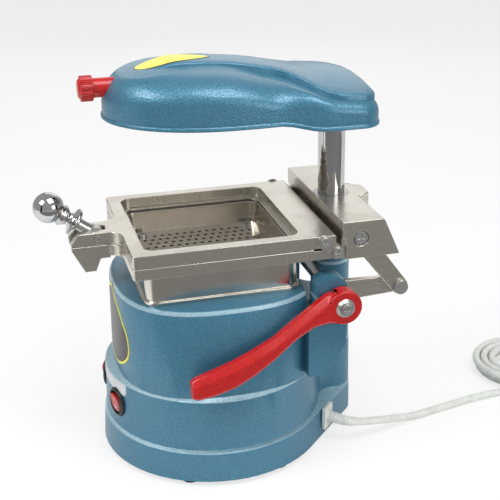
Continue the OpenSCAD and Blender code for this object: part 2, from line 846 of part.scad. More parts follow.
// Side view of the lug under the lower tab, with its face square to the locked bolt
function lug_outline() =
    let (c = cos(bolt_lock_angle), s = sin(bolt_lock_angle), p = [bolt_pin_y, bolt_pin_z])
    [
        p + [9.3, lower_top_z - bolt_pin_z], p + [-19.2, lower_top_z - bolt_pin_z],
        p + [-(seat_s + s * 8.3) / c, -8.3], p + [-(seat_s + s * 25.9) / c, -25.9],
        p + [-2.2, -25.7], p + [1.7, -16.1], p + [9.3, -16]
    ];

module lower_frame() {
    color(nickel) on_mid() difference() {
        union() {
            intersection() {
                translate([0, 0, lower_z]) linear_extrude(lower_t) polygon(frame_outline(block_y));
                translate([-100, bolt_pin_y + 9, 0]) cube([200, 300, 400]);
            }
            side_slab(lug_outline(), -tab_half_w, 2 * tab_half_w);
        }
        window_cut(window_w + 2, lower_z - cut, lower_t + 2 * cut);
        bolt_slot(lower_z - 20, 40);
        translate([-100, frame_rear_y - 17, lower_top_z - 1]) cube([200, 60, 5]);
        both_sides() {
            rod_x(4, frame_w / 2 - 8, 10, strap_b);
            translate([40, block_y - 15, lower_z + 4]) rotate([-90, 0, 0]) cylinder(d = 5, h = 20);
        }
    }
}

module hinge_straps() {
    color(nickel) on_mid() both_sides() difference() {
        side_slab(bar_outline(strap_a, strap_b, strap_r, strap_r), strap_x, strap_t);
        rod_x(4.2, strap_x - cut, strap_t + 2 * cut, strap_a);
        rod_x(4.2, strap_x - cut, strap_t + 2 * cut, strap_b);
    }
}

module strap_screw(at) {
    translate([strap_x + strap_t + 0.1, at[0], at[1]]) rotate([0, 90, 0]) pan_screw(4, 8, 2, strap_t + 7);
}

module strap_screws_upper() {
    color(steel) on_mid() both_sides() strap_screw(strap_a);
}

module strap_screws_lower() {
    color(steel) on_mid() both_sides() strap_screw(strap_b);
}

// Swing bolt and its lock knob, turned about the pin to the photographed rest

module along_bolt() {
    translate([0, bolt_pin_y, bolt_pin_z]) rotate([90 - bolt_rest_angle, 0, 0]) children();
}

module bolt_pin() {
    color(steel) on_mid() rod_x(bolt_pin_d, -tab_half_w, 2 * tab_half_w, [bolt_pin_y, bolt_pin_z]);
}

module swing_bolt() {
    color(steel) on_mid() difference() {
        union() {
            rod_x(12, 0.25 - slot_w / 2, slot_w - 0.5, [bolt_pin_y, bolt_pin_z]);
            along_bolt() cylinder(d = shank_d, h = knob_s);
        }
        rod_x(bolt_pin_d + 2 * fit, -20, 40, [bolt_pin_y, bolt_pin_z]);
    }
}

// Bell-shaped sleeve: its wide rim bears on the tabs
module clamp_sleeve() {
    color(chrome) on_mid() along_bolt() rotate_extrude() polygon(concat(
        [[shank_d / 2 + fit, rim_s], [rim_r - 0.8, rim_s], [rim_r, rim_s + 0.8], [rim_r, rim_s + 2]],
        arc([rim_r + 0.4, rim_s + 8.6], 6.2, 265, 195, 5),
        [[7, rim_s + 10], [7, rim_s + 10.8], [shank_d / 2 + fit, rim_s + 10.8]]
    ));
}

module lock_knob() {
    color(chrome) on_mid() along_bolt() difference() {
        union() {
            translate([0, 0, rim_s + 11]) cylinder(d = 14.5, h = 6);
            translate([0, 0, rim_s + 11]) cylinder(d = 16, h = 1.6);
            translate([0, 0, knob_s]) sphere(r = knob_r);
        }
        cylinder(d = shank_d + 2 * fit, h = knob_s + 3);
    }
}

// Lever, crank shaft, cranks and links

// The lever's stations from hub to grip: [y, z, height, inner face x, thickness]
lever_stations = [
    [shaft_y, shaft_z, 25, hub_x, hub_t],
    [shaft_y - 13, shaft_z - 1, 21, hub_x, hub_t],
    [shaft_y - 24, shaft_z - 4.5, 15, hub_x + 2, hub_t],
    [shaft_y - 40, shaft_z - 13, 13, 81, grip_t + 1],
    [shaft_y - 56, shaft_z - 23, 15, 85.5, grip_t],
    [shaft_y - 72, shaft_z - 31, 18, 88, grip_t],
    [shaft_y - 86, shaft_z - 37.5, 19, 88.6, grip_t],
    [shaft_y - 102, shaft_z - 42.5, 18, 88.6, grip_t],
    [shaft_y - 114, shaft_z - 45, 16, 88.6, grip_t],
    [shaft_y - 118, shaft_z - 45.5, 12, 89.6, grip_t - 2]
];

// One cross-section of the lever: a long bevel above, small ones round the rest
function lever_section(s) =
    let (y = s[0], z = s[1], h = s[2] / 2, x = s[3], t = s[4], b = 1.5, w = t * 0.4)
    [
        [x + t - b, y, z - h], [x + t, y, z - h + b], [x + t, y, z + h - w * 1.1], [x + t - w, y, z + h],
        [x + b, y, z + h], [x, y, z + h - b], [x, y, z - h + b], [x + b, y, z - h]
    ];

module red_lever() {
    color(red) on_mid() difference() {
        union() {
            loft([for (s = lever_stations) lever_section(s)]);
            rod_x(2 * hub_r, hub_x, hub_t, [shaft_y, shaft_z]);
        }
        rod_x(shaft_d, hub_x - cut, hub_t + 2 * cut, [shaft_y, shaft_z]);
    }
}

module lever_washer() {
    color(chrome) on_mid() translate([hub_x + hub_t, shaft_y, shaft_z]) rotate([0, 90, 0]) difference() {
        cylinder(d1 = 15, d2 = 11, h = 2.4);
        translate([0, 0, -cut]) cylinder(d = 5.2, h = 5);
    }
}

module lever_screw() {
    color(steel) on_mid() translate([hub_x + hub_t + 2.4, shaft_y, shaft_z]) rotate([0, 90, 0])
        pan_screw(5, 8.5, 2.2, 14);
}

module crank_shaft() {
    color(steel) on_mid() difference() {
        rod_x(shaft_d, 1 - boss_x - boss_w, hub_x + hub_t - 1 + boss_x + boss_w, [shaft_y, shaft_z]);
        rod_x(5, hub_x, hub_t + cut, [shaft_y, shaft_z]);
    }
}

module cranks() {
    color(nickel) on_mid() both_sides() difference() {
        side_slab(bar_outline([shaft_y, shaft_z], crank_pin, bar_w / 2 + 2, bar_w / 2), crank_x, bar_t);
        rod_x(shaft_d, crank_x - cut, bar_t + 2 * cut, [shaft_y, shaft_z]);
        rod_x(crank_pin_d, crank_x - cut, bar_t + 2 * cut, crank_pin);
    }
}

module crank_pins() {
    color(steel) on_mid() both_sides() {
        rod_x(crank_pin_d, crank_x, link_x + bar_t + 0.2 - crank_x, crank_pin);
        rod_x(11, link_x + bar_t + 0.2, 3, crank_pin);
    }
}

module links() {
    color(nickel) on_mid() both_sides() difference() {
        side_slab(bar_outline(crank_pin, link_pin, bar_w / 2, link_eye_r), link_x, bar_t);
        rod_x(crank_pin_d + 2 * fit, link_x - cut, bar_t + 2 * cut, crank_pin);
        rod_x(link_eye_d, link_x - cut, bar_t + 2 * cut, link_pin);
    }
}

module link_screws() {
    color(steel) on_mid() both_sides() translate([block_half_w - 2, link_pin[0], link_pin[1]]) rotate([0, 90, 0])
        pan_screw(link_screw_d, 10.5, 1.8, block_half_w - 2 - link_x);
}

// Head

// Half width of the head along its length: round front, waist, square rear
head_front_y = -79;
head_rear_y = 110;
head_round_y = 8;
head_corner_r = 20;
head_knob_z = head_rim_z + 22.5;

function head_half(y) =
    y < head_round_y
        ? head_half_w * sqrt(max(0, 1 - pow((head_round_y - y) / (head_round_y - head_front_y), 2.15)))
        : lerp(head_half_w - smooth((y - 20) / 20), head_rear_w, smooth((y - 38) / 32));

// Plan of the head as half of it from the front tip to the rear middle
head_side = concat(
    [for (i = [0:10]) let (t = 90 * i / 10) head_round_y - (head_round_y - head_front_y) * cos(t)],
    [for (i = [1:7]) head_round_y + (head_rear_y - head_corner_r - head_round_y) * i / 7]
);
head_plan_half = concat(
    [for (y = head_side) [head_half(y), y]],
    [for (i = [1:6]) let (a = 15 * i)
        [head_rear_w - head_corner_r + head_corner_r * cos(a), head_rear_y - head_corner_r + head_corner_r * sin(a)]],
    [[head_rear_w * 0.35, head_rear_y + 2.5], [0, head_rear_y + 3]]
);
head_plan = concat(
    head_plan_half,
    [for (i = [len(head_plan_half) - 2:-1:1]) [-head_plan_half[i][0], head_plan_half[i][1]]]
);

// Heights along the head: the rim, the shoulder beside the spine, and the crown of the spine
function rim_z(y) = head_rim_z - 4 * smooth((y - 34) / 30);
function shoulder_z(y) = head_rim_z + head_h - 7 - 1.5 * smooth((y - 10) / 30) - 15 * smooth((y - 34) / 34);
function crown_z(y) = head_rim_z + head_h - 3.2 * pow(max(0, y + 20) / 45, 1.25) - 0.9 * pow(max(0, -20 - y) / 20, 2);
function round_w(y) = lerp(30, 7, smooth((y - 30) / 32));
function round_h(y) = lerp(27, 7, smooth((y - 30) / 32));

// One ring of the cover, t from 0 at the wall's top to 90 on the shoulder, drawn in towards the middle line
function head_ring(t, grow) = [
    for (p = head_plan)
        let (
            m = [0, max(-22, min(head_rear_y - 30, p[1]))],
            out = unit(p - m),
            q = p + out * (grow - round_w(p[1]) * (1 - cos(t))),
            top = shoulder_z(p[1]) + grow,
            z = top - round_h(p[1]) * (1 - sin(t))
        )
        [q[0], q[1], z]
];

function head_cap(share, grow) = [
    for (p = head_plan)
        let (m = [0, max(-22, min(head_rear_y - 30, p[1]))], q = m + (p - m) * share)
        [q[0], q[1], shoulder_z(q[1]) + grow]
];

function head_wall_ring(z_add, grow) = [
    for (p = head_plan)
        let (m = [0, max(-22, min(head_rear_y - 30, p[1]))], out = unit(p - m), q = p + out * grow)
        [q[0], q[1], rim_z(p[1]) + z_add]
];

module head_body(grow, low) {
    loft_across(concat(
        [head_wall_ring(low, grow)],
        grow == 0 ? [head_wall_ring(2.6, 0), head_wall_ring(3, -1)] : [],
        [for (t = [0:15:90]) head_ring(t, grow == 0 ? -1 : grow)],
        [head_cap(0.3, grow == 0 ? -1 : grow)]
    ));
}

// The raised spine: narrow in front, widening to the rear
function spine_half(y) = lerp(11, 29, smooth((y + 62) / 90)) + 20 * smooth((y - 36) / 40);

spine_front_y = -60;
spine_rear_y = head_rear_y + 1;
spine_side = [for (i = [0:14]) spine_front_y + (spine_rear_y - spine_front_y) * i / 14];

function spine_ring(inset, drop, low) =
    let (half = concat(
        [[0, spine_front_y - 6]],
        [for (y = spine_side) [spine_half(y), y]],
        [[spine_half(spine_rear_y) - 14, spine_rear_y + 1], [0, spine_rear_y + 1.5]]
    ))
    [
        for (p = concat(half, [for (i = [len(half) - 2:-1:1]) [-half[i][0], half[i][1]]]))
            let (m = [0, max(-30, min(spine_rear_y - 25, p[1]))], q = p + unit(m - p) * min(norm(m - p) - 0.5, inset))
            [q[0], q[1], low > 0 ? low : crown_z(q[1]) - drop]
    ];

module head_spine() {
    loft_across([
        spine_ring(0, 0, head_rim_z + 14), spine_ring(0, 3.6, 0), spine_ring(1, 2.2, 0),
        spine_ring(3.4, 1.4, 0), spine_ring(12, 0.4, 0), spine_ring(26, 0, 0)
    ]);
}

module head_cover() {
    color(enamel) on_mid() difference() {
        union() {
            head_body(0, 0);
            head_spine();
        }
        difference() {
            head_body(-head_wall - 1, -cut);
            head_pillars(7, 50);
            translate([0, post_y, pan_z + pan_t]) cylinder(r = 20, h = 50);
        }
        translate([0, post_y, head_rim_z - 10]) cylinder(d = post_d + 8, h = post_top_z - head_rim_z + 12);
        head_pillars(3.6, 12);
        translate([0, head_front_y + 8, head_knob_z]) rotate([90, 0, 0]) cylinder(r = 7, h = 20);
    }
}

// Pillars inside the cover that take the screws of the pan
module head_pillars(d, h) {
    for (p = head_screw_places) translate([p[0], p[1], pan_z + pan_t]) cylinder(d = d, h = h);
}
head_screw_places = [for (side = [-1, 1], p = [[45.8, -36.3], [head_rear_w - 11, 76], [52, 44]]) [side * p[0], p[1]]];

// A steel sheet that closes the head from below, open round the heater and the post
module head_pan() {
    color(steel) on_mid() difference() {
        translate([0, 0, pan_z]) linear_extrude(pan_t) polygon([
            for (p = head_plan)
                let (m = [0, max(-22, min(head_rear_y - 30, p[1]))])
                p - unit(p - m) * (head_wall + 1.4)
        ]);
        translate([0, heater_y, pan_z - cut]) cylinder(r = dish_r - 3, h = 5);
        translate([0, post_y, pan_z - cut]) cylinder(d = 46, h = 5);
        for (p = head_screw_places) translate([p[0], p[1], pan_z - cut]) cylinder(d = 3.8, h = 5);
    }
}

module head_screws() {
    color(steel) on_mid() for (p = head_screw_places)
        translate([p[0], p[1], pan_z]) mirror([0, 0, 1]) pan_screw(3.5, 6.5, 1.4, 10);
}

// A spun reflector over the element, with a flange that lies on the pan
module heater_dish() {
    color(chrome) on_mid() difference() {
        translate([0, heater_y, pan_z + pan_t]) rotate_extrude() polygon([
            [0, 16.6], [dish_r - 14, 16.6], [dish_r - 5, 9], [dish_r - 4, 0], [dish_r, 0], [dish_r, 1.2],
            [dish_r - 2.8, 1.2], [dish_r - 3.8, 9.8], [dish_r - 13.4, 18], [0, 18]
        ]);
        for (end = element_ends) translate(end) cylinder(d = 9 + 2 * fit, h = 30);
    }
}

// The heating element: one sheathed tube wound as a flat spiral
element_path = [
    for (i = [0:element_turns * 24])
        let (r = element_r - element_pitch * i / 24, a = 15 * i)
        [r * cos(a), heater_y + r * sin(a), element_z]
];

lead_in = 2.6;
element_ends = [element_path[0] + [0, lead_in, 0], element_path[element_turns * 24] - [0, lead_in, 0]];

module heater_element() {
    color(steel) on_mid() {
        tube(element_path, element_d, 8, [0, 1, 0], [0, 1, 0]);
        for (end = element_ends) translate(end) cylinder(d = 4, h = 6);
    }
}

module heater_terminals() {
    color(ivory) on_mid() {
        for (end = element_ends) translate(end + [0, 0, 6]) cylinder(d = 9, h = 7);
    }
}

module head_bush() {
    color(brass) on_mid() translate([0, post_y, collar_z + 5 + clear]) difference() {
        cylinder(d = post_d + 8, h = post_top_z - collar_z - 8);
        translate([0, 0, -cut]) cylinder(d = post_d + 2 * fit, h = 40);
    }
}

module head_sticker() {
    color(yellow) on_mid() intersection() {
        difference() {
            translate([0, 0, 0.4]) head_spine();
            translate([0, 0, 0.02]) head_spine();
        }
        translate([0, -28, head_rim_z + head_h - 12]) linear_extrude(20) polygon(drop_outline(20, 56));
    }
}

module knob_collar() {
    color(red) on_mid() translate([0, head_front_y + 8, head_knob_z]) rotate([90, 0, 0]) cylinder(r = 7, h = 16);
}

// A round knob with flutes for the fingers
module head_knob() {
    color(red) on_mid() translate([0, head_front_y - 8, head_knob_z]) rotate([90, 0, 0]) {
        linear_extrude(9) difference() {
            circle(r = 9.2);
            for (i = [0:11]) rotate(30 * i) translate([10.2, 0]) circle(r = 1.8);
        }
        translate([0, 0, 9]) cylinder(r1 = 7.6, r2 = 6, h = 1.6);
    }
}

base_housing();
base_plate();
base_screws();
rubber_feet();
front_sticker();
switch_label();
switch_bezels();
rocker_left();
rocker_right();
cord_gland();
mains_cord();
cord_coil();
mains_plug();
vacuum_motor();
fan_housing();
motor_gasket();
shaft_bushes();
post();
post_bolt();
head_collar();
chamber_tray();
chamber_gasket();
perforated_plate();
plate_screws();
carriage_block();
carriage_bush();
carriage_screws();
lower_frame();
strap_screws_lower();
link_screws();
hinge_straps();
upper_frame();
strap_screws_upper();
bolt_pin();
swing_bolt();
clamp_sleeve();
lock_knob();
red_lever();
lever_washer();
lever_screw();
crank_shaft();
cranks();
crank_pins();
links();
head_cover();
head_pan();
heater_dish();
heater_element();
heater_terminals();
head_bush();
head_screws();
head_sticker();
knob_collar();
head_knob();
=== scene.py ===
"""Looks of a bench vacuum former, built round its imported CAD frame."""

import logging
import math
from dataclasses import dataclass, field
from enum import Enum

import bmesh
import bpy
from mathutils import Matrix, Vector


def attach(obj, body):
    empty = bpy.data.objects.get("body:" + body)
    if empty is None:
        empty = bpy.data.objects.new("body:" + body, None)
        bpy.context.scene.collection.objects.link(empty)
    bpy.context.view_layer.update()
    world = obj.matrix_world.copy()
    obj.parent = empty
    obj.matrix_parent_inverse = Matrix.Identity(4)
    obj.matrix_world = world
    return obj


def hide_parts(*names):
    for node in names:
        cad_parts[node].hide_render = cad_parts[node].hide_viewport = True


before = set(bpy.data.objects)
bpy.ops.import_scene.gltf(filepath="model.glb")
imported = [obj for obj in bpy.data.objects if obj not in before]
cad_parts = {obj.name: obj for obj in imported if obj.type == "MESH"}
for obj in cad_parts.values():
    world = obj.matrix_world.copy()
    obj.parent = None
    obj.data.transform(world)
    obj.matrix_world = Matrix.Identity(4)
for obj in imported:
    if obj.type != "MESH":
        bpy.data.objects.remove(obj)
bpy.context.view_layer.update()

LOG = logging.getLogger("vacuum_former")
MM = 0.001
MIDDLE = -4.5 * MM
# Light of the room on everything but the camera
ROOM_LIGHT = 0.42
# Heights of the base's two ledge steps and its top edge, where a highlight is painted into the
# enamel
LEDGE_HIGHLIGHT_HEIGHTS = ((27 * MM, 29 * MM), (69 * MM, 71 * MM), (138 * MM, 140 * MM))
# The head's print: its width and length, and its middle along the head, in millimetres
HEAD_PRINT = (30, 56)
HEAD_PRINT_AT = -29
# The switches: their axis, their distance from it, and how far they are to the side
SWITCH_AXIS = (MIDDLE, -6 * MM, 49.5 * MM)
SWITCH_OUT = 85 * MM
SWITCH_SIDE = 26 * MM


class Body(Enum):
    """The CAD bodies that pieces ride on."""

    BASE = "base"
    ROCKER_LEFT = "rocker_left"
    ROCKER_RIGHT = "rocker_right"
    LEVER = "lever"
    LINKS = "links"
    CARRIAGE = "carriage"
    STRAPS = "straps"
    UPPER_FRAME = "upper_frame"
    SWING_BOLT = "swing_bolt"
    CLAMP_SLEEVE = "clamp_sleeve"
    LOCK_KNOB = "lock_knob"
    HEAD = "head"


# Shader maths


class Term:
    """A shader's number socket, on which Python's operators add Math nodes."""

    def __init__(self, shader: "Shader", socket: bpy.types.NodeSocket) -> None:
        """Keep the socket and the shader that it belongs to.

        Args:
            shader: the shader that new nodes go into.
            socket: the output that this term stands for.
        """
        self.shader = shader
        self.socket = socket

    def _join(self, operation: str, first: "Term | float", second: "Term | float") -> "Term":
        """Add one Math node on two operands.

        Args:
            operation: the Math node's operation.
            first: the first operand.
            second: the second operand.

        Returns:
            The term of the node's result.
        """
        made = self.shader.node("ShaderNodeMath", {"operation": operation}, {0: first, 1: second})
        return Term(self.shader, made.outputs[0])

    def __add__(self, other: "Term | float") -> "Term":
        """Sum."""
        return self._join("ADD", self, other)

    def __radd__(self, other: float) -> "Term":
        """Sum with the number first."""
        return self._join("ADD", other, self)

    def __sub__(self, other: "Term | float") -> "Term":
        """Difference."""
        return self._join("SUBTRACT", self, other)

    def __rsub__(self, other: float) -> "Term":
        """Difference with the number first."""
        return self._join("SUBTRACT", other, self)

    def __mul__(self, other: "Term | float") -> "Term":
        """Product."""
        return self._join("MULTIPLY", self, other)

    def __truediv__(self, other: "Term | float") -> "Term":
        """Quotient."""
        return self._join("DIVIDE", self, other)

    def __pow__(self, other: float) -> "Term":
        """Power."""
        return self._join("POWER", self, other)

    def __lt__(self, other: "Term | float") -> "Term":
        """One where this term is the smaller, and zero elsewhere."""
        return self._join("LESS_THAN", self, other)

    def __abs__(self) -> "Term":
        """Size without the sign."""
        return self._join("ABSOLUTE", self, 0.0)

    def ramp(self, low: float, high: float) -> "Term":
        """Rise smoothly from zero at low to one at high.

        Args:
            low: the value up to which the result is zero.
            high: the value from which the result is one.

        Returns:
            The term of the smooth step.
        """
        made = self.shader.node(
            "ShaderNodeMapRange", {"interpolation_type": "SMOOTHSTEP"}, {0: self, 1: low, 2: high}
        )
        return Term(self.shader, made.outputs[0])


Feed = "Term | bpy.types.NodeSocket | float | tuple"


class Shader:
    """One material's nodes, round a single Principled shader."""

    def __init__(self, name: str) -> None:
        """Make an empty material with its shader and output.

        Args:
            name: the material's name.
        """
        self.material = bpy.data.materials.new(name)
        self.material.use_nodes = True
        self.tree = self.material.node_tree
        self.tree.nodes.clear()
        self.body = self.node("ShaderNodeBsdfPrincipled")
        self.node("ShaderNodeOutputMaterial", {}, {"Surface": self.body.outputs[0]})
        self.place = self.node("ShaderNodeTexCoord").outputs["Object"]

    def node(
        self, kind: str, settings: dict[str, object] | None = None, feeds: dict | None = None
    ) -> bpy.types.Node:
        """Add a node, set it up, and then fill its sockets.

        Args:
            kind: the node's type.
            settings: the node's own settings.
            feeds: for each input, its value or what is linked to it.

        Returns:
            The new node.
        """
        made = self.tree.nodes.new(kind)
        for name, value in (settings or {}).items():
            setattr(made, name, value)
        for name, value in (feeds or {}).items():
            self.feed(made.inputs[name], value)
        return made

    def feed(self, socket: bpy.types.NodeSocket, value: Feed) -> None:
        """Link a term or socket to an input, or set the input's value.

        Args:
            socket: the input.
            value: what goes into it.
        """
        if isinstance(value, Term):
            self.tree.links.new(value.socket, socket)
        elif isinstance(value, bpy.types.NodeSocket):
            self.tree.links.new(value, socket)
        else:
            socket.default_value = value

    def stretched(self, scale: tuple[float, float, float]) -> bpy.types.NodeSocket:
        """Give the object's coordinates, stretched.

        Args:
            scale: the factor along each axis.

        Returns:
            The output with the stretched place.
        """
        made = self.node("ShaderNodeMapping", {}, {"Vector": self.place, "Scale": scale})
        return made.outputs[0]

    def noise(
        self, size: float, detail: float = 2, rough: float = 0.5, stretch: tuple | None = None
    ) -> Term:
        """Add noise over the object's coordinates.

        Args:
            size: how large its spots are, in metres.
            detail: how many finer layers it has.
            rough: how strong those layers are.
            stretch: the factor along each axis, where the spots are long.

        Returns:
            The noise, about 0.5 in the middle.
        """
        place = self.stretched(stretch) if stretch else self.place
        made = self.node(
            "ShaderNodeTexNoise",
            {},
            {"Vector": place, "Scale": 1 / size, "Detail": detail, "Roughness": rough},
        )
        return Term(self, made.outputs[0])

    def cells(self, size: float, smooth: float = 0.6) -> Term:
        """Add rounded cells, zero in their middles.

        Args:
            size: a cell's width in metres.
            smooth: how much the cells run into each other.

        Returns:
            The distance from the nearest middle.
        """
        made = self.node(
            "ShaderNodeTexVoronoi",
            {"feature": "SMOOTH_F1"},
            {"Vector": self.place, "Scale": 1 / size, "Smoothness": smooth},
        )
        return Term(self, made.outputs["Distance"])

    def mix(self, factor: Term, first: Feed, second: Feed) -> bpy.types.NodeSocket:
        """Mix two colours.

        Args:
            factor: zero for the first and one for the second.
            first: a colour, or the output of another mix.
            second: the same.

        Returns:
            The output with the mixed colour.
        """
        made = self.node("ShaderNodeMix", {"data_type": "RGBA"}, {0: factor, 6: first, 7: second})
        return made.outputs[2]

    def bump(self, height: Term, depth: float, strength: float = 1.0) -> bpy.types.NodeSocket:
        """Turn a height into a normal.

        Args:
            height: the height, from zero to one.
            depth: how much one is, in metres.
            strength: how strongly it shows.

        Returns:
            The output with the normal.
        """
        feeds = {"Height": height, "Distance": depth, "Strength": strength}
        return self.node("ShaderNodeBump", {}, feeds).outputs[0]

    def finish(self, **feeds: Feed) -> bpy.types.Material:
        """Fill the Principled shader's sockets.

        Args:
            feeds: the sockets' names, with _ for a space, and what goes into them.

        Returns:
            The finished material.
        """
        for name, value in feeds.items():
            self.feed(self.body.inputs[name.replace("_", " ").title()], value)
        return self.material


def colour(red: int, green: int, blue: int) -> tuple[float, float, float, float]:
    """Turn a display colour into the linear one that a shader takes.

    Args:
        red: from 0 to 255.
        green: from 0 to 255.
        blue: from 0 to 255.

    Returns:
        The linear colour with its alpha.
    """
    shares = (c / 255 for c in (red, green, blue))
    linear = [c / 12.92 if c <= 0.04045 else ((c + 0.055) / 1.055) ** 2.4 for c in shares]
    return (*linear, 1.0)


# Finishes


@dataclass(frozen=True)
class HammeredEnamel:
    """Baked hammer-finish enamel: small dimples with bright flakes in them, and painted highlights
    in bands at given heights.
    """

    name: str
    light: tuple
    dark: tuple
    flake_and_highlight: tuple
    # Heights between which a highlight is painted into the enamel
    painted_highlight_heights: tuple = ()
    dimple: float = 1.5 * MM
    fade: float = 0.6 * MM

    def build(self) -> bpy.types.Material:
        """Make the material.

        Returns:
            The enamel.
        """
        s = Shader(self.name)
        cells = s.cells(self.dimple)
        grain = s.noise(0.5 * MM, 3, 0.7)
        cloud = s.noise(26 * MM, 2)
        pits = cells.ramp(0.1, 0.62)
        shade = pits * 0.45 + grain.ramp(0.3, 0.72) * 0.4 + cloud * 0.25
        base = s.mix(shade, self.dark, self.light)
        sparkle = s.noise(0.32 * MM, 1, 0.5).ramp(0.66, 0.78)
        height = pits * 0.7 + grain * 0.35
        flake_and_painted_highlight = sparkle * 0.5
        level = Term(s, s.node("ShaderNodeSeparateXYZ", {}, {0: s.place}).outputs["Z"])
        # Painted highlight: the enamel turns towards the flake colour in bands at these heights,
        # standing in for light caught on up-facing edges
        for low, high in self.painted_highlight_heights:
            below, above = level.ramp(low - self.fade, low), level.ramp(high, high + self.fade)
            band = below * (1 - above)
            flake_and_painted_highlight = flake_and_painted_highlight + band * (grain.ramp(0.3, 0.65) * 0.75 + 0.1)
        return s.finish(
            base_color=s.mix(flake_and_painted_highlight, base, self.flake_and_highlight),
            roughness=0.27 + grain * 0.14,
            metallic=sparkle * 0.3 + 0.3,
            coat_weight=0.3,
            coat_roughness=0.14,
            normal=s.bump(height, 0.2 * MM, 1.0),
        )


@dataclass(frozen=True)
class Metal:
    """Bare or plated metal with brushing, clouding and fine pits."""

    name: str
    bright: tuple
    dull: tuple
    smooth: float = 0.22
    spread: float = 0.14
    brush: tuple = (1.0, 0.06, 1.0)
    depth: float = 0.02 * MM

    def build(self) -> bpy.types.Material:
        """Make the material.

        Returns:
            The metal.
        """
        s = Shader(self.name)
        cloud = s.noise(24 * MM, 3, 0.5)
        fine = s.noise(0.8 * MM, 3, 0.6, self.brush)
        pits = s.noise(1.6 * MM, 2, 0.6).ramp(0.62, 0.78)
        wear = cloud.ramp(0.35, 0.7)
        return s.finish(
            base_color=s.mix(wear * 0.35 + fine * 0.35, self.bright, self.dull),
            metallic=1.0,
            roughness=self.smooth + (wear * 0.35 + fine * 0.5) * self.spread,
            normal=s.bump(fine - pits * 0.5, self.depth, 0.8),
        )


@dataclass(frozen=True)
class Plastic:
    """Paint, moulded plastic or ceramic: one colour, a soft ripple and a fine grain."""

    name: str
    tone: tuple
    shade: tuple
    smooth: float = 0.3
    coat: float = 0.0
    ripple: float = 0.05 * MM
    grain: float = 0.9 * MM

    def build(self) -> bpy.types.Material:
        """Make the material.

        Returns:
            The plastic.
        """
        s = Shader(self.name)
        swell = s.noise(6 * MM, 3, 0.5)
        grit = s.noise(self.grain, 2, 0.6)
        return s.finish(
            base_color=s.mix(swell.ramp(0.35, 0.75) * 0.7 + grit * 0.2, self.tone, self.shade),
            roughness=self.smooth + grit * 0.12,
            coat_weight=self.coat,
            coat_roughness=0.08,
            normal=s.bump(swell * 0.7 + grit * 0.3, self.ripple, 0.5),
        )


@dataclass(frozen=True)
class PrintedDrop:
    """Glossy sticker film: a drop-shaped field inside a band of another colour."""

    name: str
    band: tuple
    field: tuple
    middle: tuple[float, float]
    size: tuple[float, float]
    axes: tuple[str, str]
    rim: float

    def build(self) -> bpy.types.Material:
        """Make the material.

        Returns:
            The printed film.
        """
        s = Shader(self.name)
        parts = s.node("ShaderNodeSeparateXYZ", {}, {0: s.place})
        across, along = (Term(s, parts.outputs[axis]) for axis in self.axes)
        inner = self._inside(s, across, along)
        swell = s.noise(9 * MM, 2)
        grit = s.noise(0.7 * MM, 2)
        plain = s.mix(swell.ramp(0.3, 0.8) * 0.25, self.band, colour(206, 196, 52))
        return s.finish(
            base_color=s.mix(inner, plain, self.field),
            roughness=0.26 + grit * 0.14,
            coat_weight=0.05,
            coat_roughness=0.1,
            normal=s.bump(swell + inner * 0.5, 0.02 * MM, 0.6),
        )

    def _inside(self, s: Shader, across: Term, along: Term) -> Term:
        """Tell the inside of the drop from its rim.

        Args:
            s: the shader.
            across: the coordinate over the drop's width.
            along: the coordinate over its length, towards its point.

        Returns:
            One inside and zero on the rim.
        """
        width, length = self.size[0] / 2 - self.rim, self.size[1] / 2 - self.rim * 1.4
        height = (along - self.middle[1]) / length
        level = s.node("ShaderNodeClamp", {}, {0: height, 1: -1.0, 2: 1.0}).outputs[0]
        share = Term(s, level)
        half = ((1 - share * share) ** 0.5) * (((1 - share) * 0.5) ** 0.3) * width
        return (abs(across - self.middle[0]) < half) * (abs(height) < 1)


